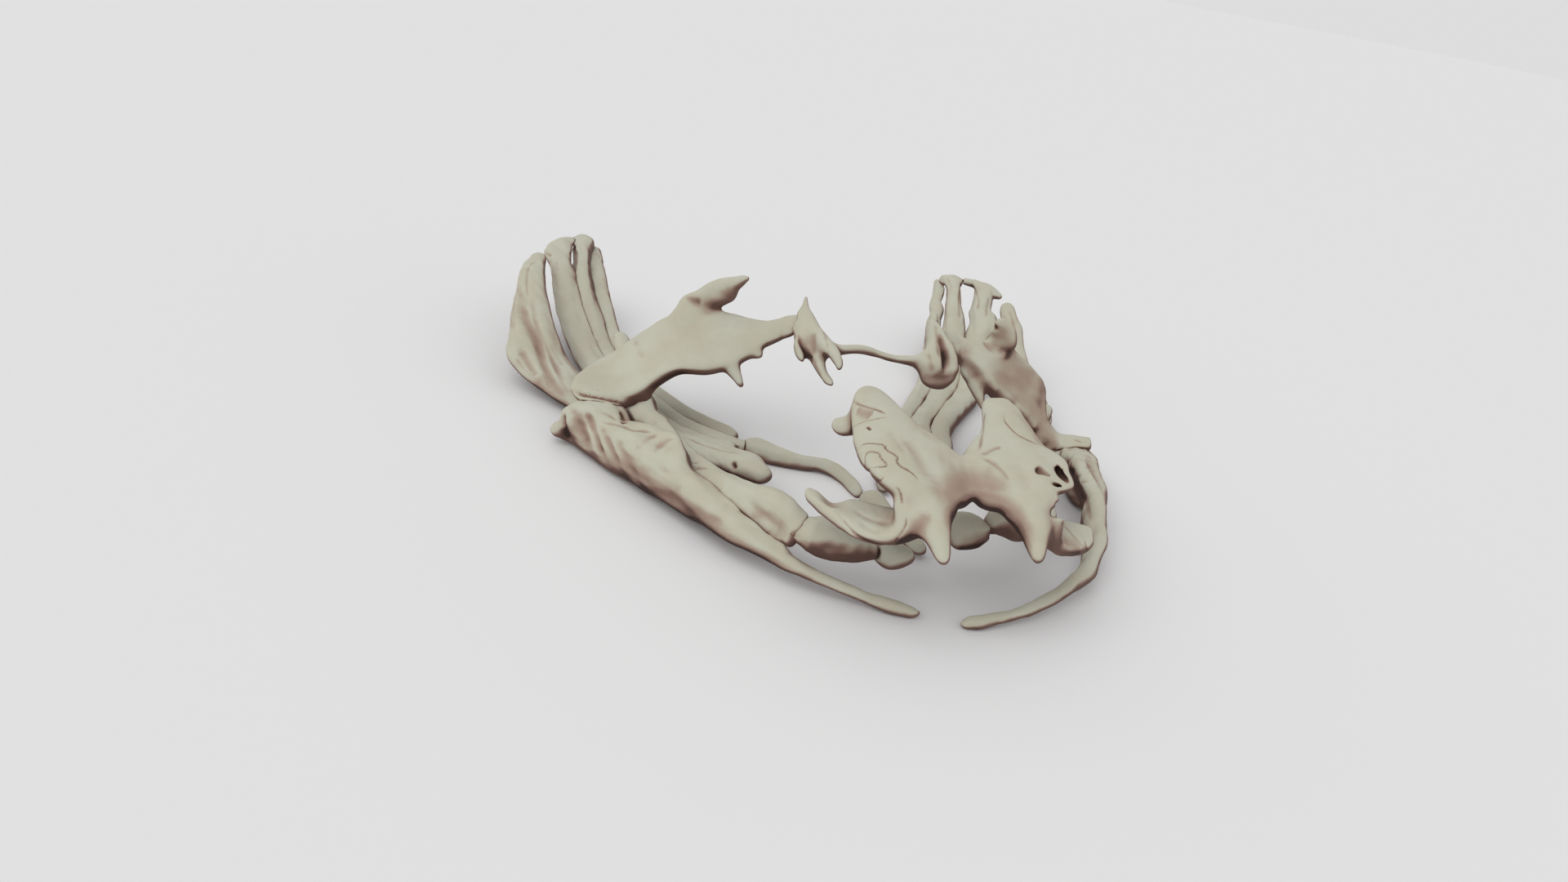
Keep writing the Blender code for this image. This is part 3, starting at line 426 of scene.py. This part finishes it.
def make_cartilage():
    """Old cartilage: matt and pale, clouded with straw, with brown shade painted where it is hollow, turned
    from the light or close to other bones.
    """
    material = bpy.data.materials.new("cartilage")
    material.use_nodes = True
    tree = material.node_tree
    surface = tree.nodes["Principled BSDF"]
    start = Socket(tree)
    place = start.node("ShaderNodeTexCoord", output="Object")
    painted_shade = start.node("ShaderNodeAttribute", {"attribute_name": "painted_shade"}, output="Fac")
    cloud_inputs = {"Vector": place, "Scale": CLOUD_SCALE, "Detail": 4.0, "Roughness": 0.6}
    grain_inputs = {"Vector": place, "Scale": GRAIN_SCALE, "Detail": 3.0, "Roughness": 0.55}
    clouds = start.node("ShaderNodeTexNoise", (), cloud_inputs)
    grain = start.node("ShaderNodeTexNoise", (), grain_inputs)
    # The painted shade, shifted a little by the clouds and the grain, brings in the tan to dark shade
    # colours
    depth = (painted_shade + (clouds - 0.5) * CLOUD_SHIFT + (grain - 0.5) * GRAIN_SHIFT).held()
    colour = clouds.rise(0.35, 0.65).mixed(PALE, STRAW)
    colour = depth.rise(*TAN_COMES).mixed(colour, TAN)
    colour = depth.rise(*BROWN_COMES).mixed(colour, BROWN)
    colour = depth.rise(*UMBER_COMES).mixed(colour, UMBER)
    colour = depth.rise(*DARK_COMES).mixed(colour, DARK)
    bump_inputs = {"Strength": GRAIN_STRENGTH, "Distance": GRAIN_HEIGHT, "Height": grain}
    bump = start.node("ShaderNodeBump", (), bump_inputs)
    tree.links.new(colour.output, surface.inputs["Base Color"])
    tree.links.new((SMOOTHEST + grain * ROUGHER).output, surface.inputs["Roughness"])
    tree.links.new(bump.output, surface.inputs["Normal"])
    surface.inputs["Specular IOR Level"].default_value = SHINE
    return material


cartilage = make_cartilage()
bones = {}
shade_tone = {}


def surfaced(piece, material):
    """Puts a shaped piece back into metres, smooth and with its material."""
    piece.data.transform(Matrix.Scale(1 / PER_MM, 4))
    piece.data.materials.append(material)
    piece.data.polygons.foreach_set("use_smooth", [True] * len(piece.data.polygons))


def keep_bone(piece, node, tone):
    """Finishes a bone, in place of its CAD node. The tone is how much shade is painted on it all over."""
    surfaced(piece, cartilage)
    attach(piece, "root")
    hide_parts(node)
    bones[node] = piece
    shade_tone[node] = tone


nose = rounded_copy("ethmoid")
pierce(nose, ROOF_HOLES)
fine_skin(nose, NOSE_SKIN_STEP)
pull(nose, NOSE_PULLS)
weathered(nose, depth=0.05, across=0.9, along=0.5, run=(0.2, 1, 0), seed=1)
carve(nose, NOSE_MARKS)
keep_bone(nose, "ethmoid", NOSE_TONE)

# The hind blocks hold the ears, and the strap between them is all that is left of the skull's
# floor at the back. Folds run down the right block, and a finger lies along the left one. In life
# the cartilage runs on from block to plate, so the two are made to meet at a seam.
BLOCK_TONE = 0.10
BLOCK_MARKS = (
    (0.18, 0.14, 0.60, ((975, 408), (981, 420), (989, 434), (995, 446))),
    (0.20, 0.06, 0.12, ((997, 405), (995, 418), (995, 430), (994, 438))),
    (0.18, 0.06, 0.14, ((1010, 402), (1012, 416), (1013, 430))),
    (0.16, 0.03, 0.30, ((994, 438), (1000, 450), (1006, 464))),
    (0.20, 0.16, 0.40, ((1147, 404), (1153, 420), (1157, 434), (1158, 448), (1157, 460))),
    (0.20, 0.07, 0.16, ((1144, 390), (1147, 408), (1150, 426), (1151, 440))),
    (0.16, 0.05, 0.12, ((1136, 430), (1140, 444), (1142, 458))),
)

BLOCK_PULLS = (
    # Spike of the left block, and the strap beside it
    (0.9, (1149, 404), (1143, 391)),
    (1.6, (1085, 434), (1085, 437)),
)

# Bones this near each other, in millimetres, swell towards each other, in full where they are close
# by, until they overlap by this much. The end of a slit that stays open fades over so many rows.
NEIGHBOUR = 0.75
CLOSE_BY = 0.45
OVERLAP = 0.03
SLIT_END = 12

cad_skin = {}
for name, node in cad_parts.items():
    corners = [v.co * PER_MM for v in node.data.vertices]
    cad_skin[name] = BVHTree.FromPolygons(corners, [tuple(f.vertices) for f in node.data.polygons])


def photo_rows(places):
    """In which row of the photograph each place shows."""
    seen = (places - np.array(EYE)) @ np.array(CAMERA_TURN.to_matrix())
    return PHOTO_SIZE[1] / 2 + LENS / SENSOR_WIDTH * PHOTO_SIZE[0] * seen[:, 1] / seen[:, 2]


def meet(piece, others, slits=()):
    """Swells the bone where another one lies close, so that the two meet at a seam. A slit stays
    open between two rows of the photograph."""
    places = points(piece)
    rows = photo_rows(places)
    for other in others:
        low, high = (np.array(corner) * PER_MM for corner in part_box(other))
        close = np.all((places > low - NEIGHBOUR) & (places < high + NEIGHBOUR), axis=1)
        upper, lower = dict(slits).get(other, (0, 0))
        shut = np.clip(1 - np.minimum(rows - upper, lower - rows) / SLIT_END, 0, 1)
        for i in np.flatnonzero(close & (shut > 0)):
            near, _, _, gap = cad_skin[other].find_nearest(Vector(places[i]), NEIGHBOUR)
            if near is not None and gap > 0:
                fade = shut[i] * min(1, (NEIGHBOUR - gap) / (NEIGHBOUR - CLOSE_BY))
                places[i] = Vector(places[i]).lerp(near, (0.5 + OVERLAP / gap) * fade)
    move(piece, places)


bridge = rounded_copy("occipital_bridge")
fine_skin(bridge, NOSE_SKIN_STEP)
pull(bridge, BLOCK_PULLS)
meet(bridge, ("suspensorium_right", "suspensorium_left"))
weathered(bridge, depth=0.05, across=1.1, along=0.6, run=(1, 0, 0), seed=2)
carve(bridge, BLOCK_MARKS)
keep_bone(bridge, "occipital_bridge", BLOCK_TONE)

# A plate of cartilage on each side hangs the lower jaw from the hind block. The right one is broad,
# with a wing, and its foot is a thin, lipped sole. The left one has a knob and a narrow ankle.
PLATE_MARKS = {
    "right": (
        # Crease and raised lip of the sole, and a small crease above them
        (0.09, 0.12, 0.55, ((701, 478), (710, 483), (721, 485), (735, 487), (748, 490), (760, 493),
                            (766, 499))),
        (0.11, -0.07, 0.00, ((702, 472), (711, 478), (723, 480), (735, 481), (746, 484), (757, 487))),
        (0.10, 0.05, 0.08, ((719, 479), (733, 477), (745, 480))),
        # Folds at the ankle and beside the wing
        (0.28, 0.07, 0.08, ((777, 414), (779, 424), (784, 434), (792, 438))),
        (0.22, 0.08, 0.30, ((836, 362), (844, 366), (852, 370), (860, 370))),
        # Broad low hollows, and painted shade along the lower edge
        (0.60, 0.05, 0.08, ((800, 430), (830, 414), (870, 404))),
        (0.50, 0.04, 0.05, ((880, 392), (906, 402), (930, 404))),
        (0.50, 0.00, 0.18, ((792, 480), (806, 468), (826, 460), (850, 454))),
    ),
    "left": (
        # Hollow under the knob, and the pit above it
        (0.24, 0.04, 0.15, ((1222, 426), (1229, 431), (1238, 434))),
        (0.12, 0.12, 0.60, ((1217, 399), (1219, 402))),
        # Hollow and raised edge beside the block
        (0.45, 0.05, 0.25, ((1174, 424), (1184, 438), (1192, 452), (1198, 470))),
        (0.30, -0.06, 0.00, ((1164, 420), (1172, 444), (1184, 470))),
        # Ankle and foot: hollow with painted shade, and two creases
        (0.35, 0.03, 0.25, ((1268, 520), (1282, 536), (1300, 546))),
        (0.10, 0.10, 0.50, ((1286, 548), (1296, 553), (1306, 551))),
        (0.07, 0.07, 0.20, ((1313, 538), (1326, 541), (1337, 541))),
        # Broad hollow of the middle
        (0.45, 0.04, 0.15, ((1276, 458), (1280, 484), (1272, 508))),
    ),
}
PLATE_PULLS = {
    "right": (
        # Upper edge, wing and the bay behind it
        (1.2, (840, 377), (836, 370)),
        (1.1, (884, 366), (893, 368)),
        # Lower edge and neck
        (1.8, (868, 447), (868, 456)),
        (1.2, (914, 430), (915, 437)),
        (2.0, (948, 402), (948, 409)),
    ),
    "left": (
        # Knob and foot
        (1.1, (1228, 404), (1230, 396)),
        (0.9, (1234, 408), (1243, 412)),
        (0.9, (1231, 422), (1240, 427)),
        (0.8, (1328, 537), (1334, 540)),
        # Hollow under the knob
        (0.9, (1220, 417), (1211, 415)),
    ),
}
PLATE_TONES = {"right": 0.0, "left": 0.06}

for side in ("right", "left"):
    plate = rounded_copy("suspensorium_" + side)
    fine_skin(plate)
    pull(plate, PLATE_PULLS[side])
    meet(plate, ("occipital_bridge", "meckel_" + side, "ceratohyal_" + side))
    weathered(plate, depth=0.05, across=0.8, along=0.45, run=(1, 0, -0.4), seed=3)
    carve(plate, PLATE_MARKS[side])
    keep_bone(plate, "suspensorium_" + side, PLATE_TONES[side])

# The lower jaws are two bars, with a crest where the jaw muscles held on, folded at their heads
# and creased where they turn. The way each bar runs is a direction in the frame.
JAW_TONE = 0.06
JAW_RUNS = {"right": (-0.68, 0.73, 0), "left": (0.62, 0.78, 0)}
JAW_MARKS = {
    "right": (
        # Behind the outer knob, and the folds of the head
        (0.22, 0.18, 0.30, ((690, 504), (688, 516), (692, 528), (697, 540))),
        (0.42, 0.14, 0.32, ((694, 490), (703, 506), (711, 522), (717, 540), (722, 552))),
        (0.26, 0.13, 0.24, ((716, 498), (721, 512), (727, 530), (734, 550), (742, 566))),
        (0.30, 0.10, 0.20, ((732, 514), (739, 532), (748, 552), (760, 574))),
        (0.30, 0.08, 0.14, ((752, 532), (760, 552), (772, 572), (784, 590))),
        (0.14, 0.06, 0.05, ((724, 507), (735, 504), (747, 508), (758, 517))),
        (0.18, 0.09, 0.07, ((731, 519), (744, 517), (762, 520), (773, 526), (789, 527), (807, 530))),
        (0.16, 0.14, 0.40, ((763, 508), (765, 513), (764, 517))),
        # Creases below the crest
        (0.26, 0.09, 0.05, ((774, 552), (791, 537), (808, 529))),
        (0.26, 0.09, 0.05, ((796, 556), (814, 539), (834, 532))),
        # Painted shade on the lower flank
        (0.42, 0.00, 0.32, ((716, 548), (738, 560), (757, 574), (774, 588), (796, 604), (818, 618),
                            (836, 629), (860, 644), (884, 658), (912, 672), (942, 687), (976, 702),
                            (1012, 716))),
        (0.75, 0.00, 0.32, ((728, 544), (748, 560), (768, 576), (790, 594), (812, 608), (832, 620),
                            (856, 634), (880, 648), (908, 662))),
    ),
    "left": (
        # Ridge of the head, its creases, the hollow behind it, and painted shade along the inner edge
        (0.20, -0.05, 0.00, ((1319, 589), (1331, 595), (1339, 606), (1345, 620), (1348, 636))),
        (0.14, 0.05, 0.14, ((1316, 585), (1329, 579), (1342, 575))),
        (0.14, 0.05, 0.10, ((1320, 578), (1329, 573), (1339, 571))),
        (0.14, 0.05, 0.10, ((1322, 592), (1334, 588), (1346, 588))),
        (0.22, 0.06, 0.34, ((1306, 569), (1311, 575), (1316, 581))),
        (0.16, 0.04, 0.30, ((1323, 602), (1330, 614), (1334, 628), (1335, 640))),
        (0.30, 0.05, 0.10, ((1316, 552), (1328, 556), (1338, 562))),
        (0.16, 0.05, 0.15, ((1342, 640), (1338, 660), (1330, 680), (1318, 696))),
    ),
}
JAW_PULLS = {
    "right": (),
    "left": (
        (1.1, (1312, 556), (1302, 554)),
        (2.2, (1314, 618), (1329, 616)),
        (1.6, (1349, 664), (1353, 665)),
        (1.8, (1337, 700), (1342, 703)),
    ),
}

for side in ("right", "left"):
    jaw = rounded_copy("meckel_" + side)
    fine_skin(jaw)
    pull(jaw, JAW_PULLS[side])
    meet(jaw, ("suspensorium_" + side, "ceratohyal_" + side))
    weathered(jaw, depth=0.08, across=1.3, along=0.45, run=JAW_RUNS[side], seed=4)
    carve(jaw, JAW_MARKS[side])
    keep_bone(jaw, "meckel_" + side, JAW_TONE)

# The tongue arch is two long horns of cartilage, each with a small piece before it and a knob at
# its end. Behind it lie a slim bar in the middle and the two bones that the gill bars start from.
ARCH_TONE = 0.05
ARCH_MARKS = {
    "ceratohyal_right": (
        (0.09, 0.05, 0.15, ((834, 565), (846, 567), (858, 566))),
        (0.09, 0.05, 0.15, ((838, 573), (854, 573), (872, 574))),
        (0.30, 0.02, 0.15, ((850, 588), (866, 600), (884, 613), (902, 628))),
        (0.20, 0.06, 0.06, ((880, 572), (900, 584), (926, 598))),
    ),
    "ceratohyal_left": (
        (0.12, 0.05, 0.12, ((1282, 500), (1286, 512))),
    ),
    "hypohyal_knob_left": (
        # Painted shade along its lower side
        (0.45, 0.00, 0.32, ((1170, 667), (1184, 671), (1198, 667), (1207, 658))),
    ),
}
ARCH_NEIGHBOURS = {
    "ceratohyal_": ("hypohyal_", "meckel_", "ceratobranchial_1_", "suspensorium_"),
    "hypohyal_": ("ceratohyal_", "hypohyal_knob_"),
    "hypohyal_knob_": ("hypohyal_",),
    "hypobranchial_": ("ceratobranchial_2_", "ceratobranchial_3_", "ceratobranchial_4_"),
}
ARCH_PULLS = {
    "hypohyal_knob_left": ((2.2, (1182, 646), (1175, 629)), (1.6, (1184, 668), (1184, 676)),
                           (1.4, (1202, 656), (1210, 656))),
    "hypohyal_left": ((2.6, (1230, 655), (1228, 642)),),
    "ceratohyal_right": ((1.8, (944, 612), (946, 605)), (1.2, (791, 508), (776, 506))),
    "hypohyal_knob_right": ((1.5, (1093, 683), (1095, 690)), (1.2, (1105, 682), (1115, 681))),
    "hypobranchial_right": ((2.2, (1040, 587), (1044, 597)),),
}

for side in ("right", "left"):
    for part, others in ARCH_NEIGHBOURS.items():
        arch = rounded_copy(part + side)
        fine_skin(arch)
        pull(arch, ARCH_PULLS.get(part + side, ()))
        meet(arch, [other + side for other in others])
        weathered(arch, depth=0.07, across=1.2, along=0.5, run=JAW_RUNS[side], seed=5)
        carve(arch, ARCH_MARKS.get(part + side, ()))
        keep_bone(arch, part + side, ARCH_TONE)

middle = rounded_copy("basibranchial")
fine_skin(middle)
weathered(middle, depth=0.05, across=1.2, along=0.5, run=(0, 1, 0), seed=6)
carve(middle, ())
keep_bone(middle, "basibranchial", 0)

# Four gill bars on each side fan out behind the tongue arch. The first is a broad plate with long
# folds, and the heads of the second and third lean against each other.
FIRST_BAR_TONE = 0.08
BAR_TONE = 0.03
BAR_RUNS = {"right": (-0.5, 0.85, 0.2), "left": (0.4, 0.9, 0.2)}
BAR_MARKS = {
    "ceratobranchial_1_right": (
        # Rolled upper rim
        (0.10, 0.06, 0.10, ((648, 372), (645, 354), (645, 336), (648, 325), (656, 320), (664, 322))),
        # Two long folds that meet above the jaw
        (0.40, 0.16, 0.20, ((635, 352), (640, 374), (645, 392), (652, 404), (660, 417), (662, 428),
                            (666, 444), (673, 460), (683, 476), (691, 492))),
        (0.30, 0.11, 0.16, ((648, 362), (651, 376), (655, 394), (660, 409), (669, 424), (677, 440),
                            (684, 456), (689, 472), (696, 487))),
        (0.36, 0.07, 0.08, ((668, 418), (680, 436), (692, 452))),
        # Short folds at the lower corner
        (0.36, 0.12, 0.20, ((634, 424), (645, 444), (660, 466))),
        (0.34, 0.10, 0.22, ((626, 432), (640, 450), (655, 464), (670, 476))),
        # Painted shade along the outer edge and on the end above the jaw
        (0.50, 0.04, 0.26, ((636, 340), (630, 366), (626, 392), (624, 416))),
        (0.90, 0.00, 0.38, ((648, 462), (664, 476), (680, 490), (694, 500))),
        # Front lobe
        (0.14, 0.16, 0.80, ((898, 567), (899, 571))),
        (0.12, 0.06, 0.12, ((840, 536), (862, 545), (888, 552), (908, 556))),
        (0.10, 0.05, 0.10, ((786, 494), (790, 506), (798, 517), (807, 528))),
    ),
    "ceratobranchial_2_right": (
        (0.16, 0.08, 0.40, ((669, 310), (673, 312))),
        (0.22, 0.05, 0.14, ((681, 318), (683, 334))),
        (0.25, 0.03, 0.14, ((674, 318), (679, 340), (686, 364))),
    ),
    "ceratobranchial_3_right": (
        (0.20, 0.12, 0.45, ((701, 297), (703, 303))),
        (0.20, 0.05, 0.14, ((710, 299), (714, 312))),
        (0.22, 0.03, 0.14, ((700, 330), (704, 352), (710, 376))),
    ),
    "ceratobranchial_4_right": (
        (0.20, 0.03, 0.12, ((738, 318), (739, 338), (742, 360))),
    ),
    "ceratobranchial_2_left": (
        (0.16, 0.08, 0.25, ((1188, 346), (1194, 356), (1199, 368), (1196, 382))),
        (0.16, 0.06, 0.20, ((1212, 360), (1209, 374), (1207, 392))),
    ),
    "ceratobranchial_3_left": (
        (0.16, 0.07, 0.22, ((1157, 338), (1163, 346), (1166, 358))),
        (0.16, 0.06, 0.20, ((1176, 350), (1175, 370), (1174, 390))),
    ),
    "ceratobranchial_4_left": (
        (0.14, 0.04, 0.15, ((1143, 346), (1143, 362), (1144, 376))),
    ),
    "ceratobranchial_1_left": (
        (0.16, 0.06, 0.20, ((1234, 376), (1240, 390), (1243, 410))),
        (0.16, 0.08, 0.25, ((1228, 386), (1231, 400), (1236, 414))),
    ),
}
# Slits between the bars' heads, open between these rows of the photograph
BAR_SLITS = {
    "ceratobranchial_1_right": {"ceratobranchial_2_right": (0, 398)},
    "ceratobranchial_2_right": {"ceratobranchial_1_right": (0, 398), "ceratobranchial_3_right": (298, 334)},
    "ceratobranchial_3_right": {"ceratobranchial_2_right": (298, 334)},
}
BAR_PULLS = {
    "ceratobranchial_1_right": ((1.4, (626, 430), (622, 430)),),
    "ceratobranchial_2_right": ((0.8, (674, 310), (668, 308)),),
    "ceratobranchial_2_left": ((1.9, (1205, 392), (1213, 394)),),
    "ceratobranchial_4_left": ((2.5, (1142, 352), (1146, 353)), (1.4, (1138, 378), (1142, 378))),
    "ceratobranchial_1_left": ((1.2, (1238, 381), (1234, 375)),),
}

for side in ("right", "left"):
    for number in range(1, 5):
        node = f"ceratobranchial_{number}_{side}"
        neighbours = [f"ceratobranchial_{n}_{side}" for n in (number - 1, number + 1) if 1 <= n <= 4]
        neighbours += ["ceratohyal_" + side] if number == 1 else ["hypobranchial_" + side]
        gill_bar = rounded_copy(node)
        fine_skin(gill_bar)
        pull(gill_bar, BAR_PULLS.get(node, ()))
        meet(gill_bar, neighbours, BAR_SLITS.get(node, ()))
        weathered(gill_bar, depth=0.07, across=1.3, along=0.35, run=BAR_RUNS[side], seed=6 + number)
        carve(gill_bar, BAR_MARKS.get(node, ()))
        keep_bone(gill_bar, node, FIRST_BAR_TONE if number == 1 else BAR_TONE)

# Shade is painted into the colour: darker in the hollows, where other bones lie close, and on the
# sides that face down and away from a painted light from the upper left. It is kept as a value at each
# point.
PAINTED_LIGHT_FROM = np.array((-0.47, -0.28, 0.835))
SLOPE_ROUNDS = 9
# How far a point faces the painted light is 1 at most. Below the first value a dull painted shade comes
# in, over the second value, up to the third. The darker painted shade of the sides turned away does the
# same.
DULL_FROM = 0.86
DULL_OVER = 0.50
DULL_MOST = 0.30
TURNED_FROM = 0.52
TURNED_OVER = 0.42
TURNED_MOST = 0.58
# Hollows, small and wide: how many rounds of evening out show them, how strongly shade is painted into
# them, and the least and the most depth that counts, in millimetres
FINE_ROUNDS = 10
FINE_GAIN = 5
FINE_DEPTHS = (-0.03, 0.06)
WIDE_ROUNDS = 90
WIDE_GAIN = 1.6
WIDE_DEPTHS = (-0.06, 0.2)
# Bones close by: rays from each point, their start and length in millimetres, how far they lean
# out from the skin, and how much painted shade what they strike casts
RAYS = 10
RAY_START = 0.12
RAY_LENGTH = 2.6
RAY_LEAN = 1.02
NEAR_ROUNDS = 12
NEAR_GAIN = 0.6
NEAR_MOST = 0.4
# The most painted shade before the drawn marks, and how strongly the shade painted along those counts
WORKED_OUT_MOST = 0.84
MARK_SHADE_GAIN = 0.9


def spread(values, edges, rounds):
    """Evens values out over the net of edges."""
    ends = edges.ravel()
    others = edges[:, ::-1].ravel()
    count = np.maximum(np.bincount(ends, minlength=len(values)), 1)
    for _ in range(rounds):
        columns = [np.bincount(ends, values[others, c], len(values)) for c in range(values.shape[1])]
        values = 0.5 * values + 0.5 * np.stack(columns, 1) / count[:, None]
    return values


bpy.ops.object.select_all(action="DESELECT")
for bone in bones.values():
    shade = bpy.data.objects.new("shade", bone.data.copy())
    bpy.context.scene.collection.objects.link(shade)
    shade.data.transform(Matrix.Scale(PER_MM, 4))
    shade.select_set(True)
    bpy.context.view_layer.objects.active = shade
bpy.ops.object.join()
shade = bpy.context.object
skeleton_skin = BVHTree.FromObject(shade, bpy.context.evaluated_depsgraph_get())
bpy.data.objects.remove(shade)


def closeness(places, facing, seed):
    """How much of what each point of the skin faces is taken up by bone."""
    chance = np.random.default_rng(seed)
    rays = RAYS
    blocked = np.zeros((len(places), 1))
    ways = chance.normal(size=(len(places), rays, 3))
    ways /= np.linalg.norm(ways, axis=2, keepdims=True)
    ways += facing[:, None, :] * RAY_LEAN
    for i, (place, out) in enumerate(zip(places, facing)):
        start = Vector(place + out * RAY_START)
        for way in ways[i]:
            hit = skeleton_skin.ray_cast(start, Vector(way), RAY_LENGTH)
            if hit[0] is not None:
                blocked[i] += 1 - hit[3] / RAY_LENGTH
    return blocked / rays


for seed, (node, bone) in enumerate(sorted(bones.items())):
    places = points(bone) * PER_MM
    facing = normals(bone)
    edges = np.empty(len(bone.data.edges) * 2, np.int32)
    bone.data.edges.foreach_get("vertices", edges)
    edges = edges.reshape(-1, 2)
    fine = ((spread(places, edges, FINE_ROUNDS) - places) * facing).sum(1)
    wide = ((spread(places, edges, WIDE_ROUNDS) - places) * facing).sum(1)
    near = spread(closeness(places, facing, seed), edges, NEAR_ROUNDS)[:, 0]
    slope = spread(facing, edges, SLOPE_ROUNDS) @ PAINTED_LIGHT_FROM
    mark_shade = np.empty(len(places), np.float32)
    bone.data.attributes["mark_shade"].data.foreach_get("value", mark_shade)
    # Painted shade: the bone's tone, the sides turned from the painted light, nearby bones, hollows and the
    # marks
    turned = np.clip((TURNED_FROM - slope) / TURNED_OVER, 0, 1)
    painted_shade = shade_tone[node] + DULL_MOST * np.clip((DULL_FROM - slope) / DULL_OVER, 0, 1)
    painted_shade += TURNED_MOST * turned ** 2 * (3 - 2 * turned)
    painted_shade += np.clip(NEAR_GAIN * near, 0, NEAR_MOST)
    painted_shade += FINE_GAIN * np.clip(fine, *FINE_DEPTHS) + WIDE_GAIN * np.clip(wide, *WIDE_DEPTHS)
    painted_shade = np.minimum(painted_shade, WORKED_OUT_MOST) + MARK_SHADE_GAIN * mark_shade
    kept = bone.data.attributes.new("painted_shade", "FLOAT", "POINT")
    kept.data.foreach_set("value", np.clip(painted_shade, 0, 1).astype(np.float32))

# Two thin pins of brushed steel between the tongue arch and the snout carry the snout. They aren't
# part of the animal. Each is drawn out at its upper end, by this many millimetres, into the snout.
PIN_INTO_BONE = 0.4
STEEL_DULL = (0.42, 0.43, 0.44, 1)
STEEL_BRIGHT = (0.62, 0.63, 0.64, 1)
BRUSH_SCALE = 26000.0
BRUSH_STRETCH = (1, 1, 0.04)
STEEL_SMOOTHEST = 0.28
STEEL_ROUGHER = 0.2

steel = bpy.data.materials.new("brushed_steel")
steel.use_nodes = True
steel_surface = steel.node_tree.nodes["Principled BSDF"]
steel_start = Socket(steel.node_tree)
steel_place = steel_start.node("ShaderNodeTexCoord", output="Object")
stretched = steel_start.node("ShaderNodeMapping", (), {"Vector": steel_place, "Scale": BRUSH_STRETCH})
brush_inputs = {"Vector": stretched, "Scale": BRUSH_SCALE, "Detail": 3.0}
brushing = steel_start.node("ShaderNodeTexNoise", (), brush_inputs)
steel_colour = brushing.mixed(STEEL_DULL, STEEL_BRIGHT)
steel_roughness = STEEL_SMOOTHEST + brushing * STEEL_ROUGHER
steel_surface.inputs["Metallic"].default_value = 1.0
steel.node_tree.links.new(steel_colour.output, steel_surface.inputs["Base Color"])
steel.node_tree.links.new(steel_roughness.output, steel_surface.inputs["Roughness"])

for side in ("right", "left"):
    pin = coarse_copy("stand_pin_" + side)
    fine_skin(pin)
    rod = points(pin)
    rod[rod[:, 2] > rod[:, 2].mean(), 2] += PIN_INTO_BONE
    move(pin, rod)
    surfaced(pin, steel)
    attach(pin, "root")
    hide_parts("stand_pin_" + side)

# The specimen lies on a wide table with plain, pale, matt paint. The studio light is soft: one broad
# lamp from the upper left, and an even glow all round.
TABLE_SIZE = 4.0
TABLE_COLOUR = (0.80, 0.80, 0.80, 1)
TABLE_ROUGHNESS = 0.9
KEY_FROM = Vector((-0.50, -0.30, 0.81))
KEY_STRENGTH = 1.05
KEY_SPREAD = radians(60)
SKY_LOW = (0.725, 0.725, 0.725, 1)
SKY_HIGH = (0.65, 0.65, 0.65, 1)
SKY_CHANGES = (0.1, 0.7)

bpy.ops.object.select_all(action="DESELECT")
bpy.ops.mesh.primitive_plane_add(size=TABLE_SIZE, location=(0, 0, 0))
table = bpy.context.object
table.name = "table"
table_paint = bpy.data.materials.new("table_paint")
table_paint.use_nodes = True
table_surface = table_paint.node_tree.nodes["Principled BSDF"]
table_surface.inputs["Base Color"].default_value = TABLE_COLOUR
table_surface.inputs["Roughness"].default_value = TABLE_ROUGHNESS
table.data.materials.append(table_paint)

key_turn = KEY_FROM.to_track_quat("Z", "Y").to_euler()
bpy.ops.object.light_add(type="SUN", location=(0, 0, 1), rotation=key_turn)
key = bpy.context.object
key.data.energy = KEY_STRENGTH
key.data.angle = KEY_SPREAD

world = bpy.data.worlds.new("studio")
bpy.context.scene.world = world
world.use_nodes = True
sky = Socket(world.node_tree)
direction = sky.node("ShaderNodeTexCoord", output="Generated")
height = sky.node("ShaderNodeSeparateXYZ", (), {"Vector": direction}, output="Z")
glow = height.rise(*SKY_CHANGES).mixed(SKY_LOW, SKY_HIGH)
world.node_tree.links.new(glow.output, world.node_tree.nodes["Background"].inputs["Color"])
bpy.context.scene.view_settings.view_transform = "Standard"
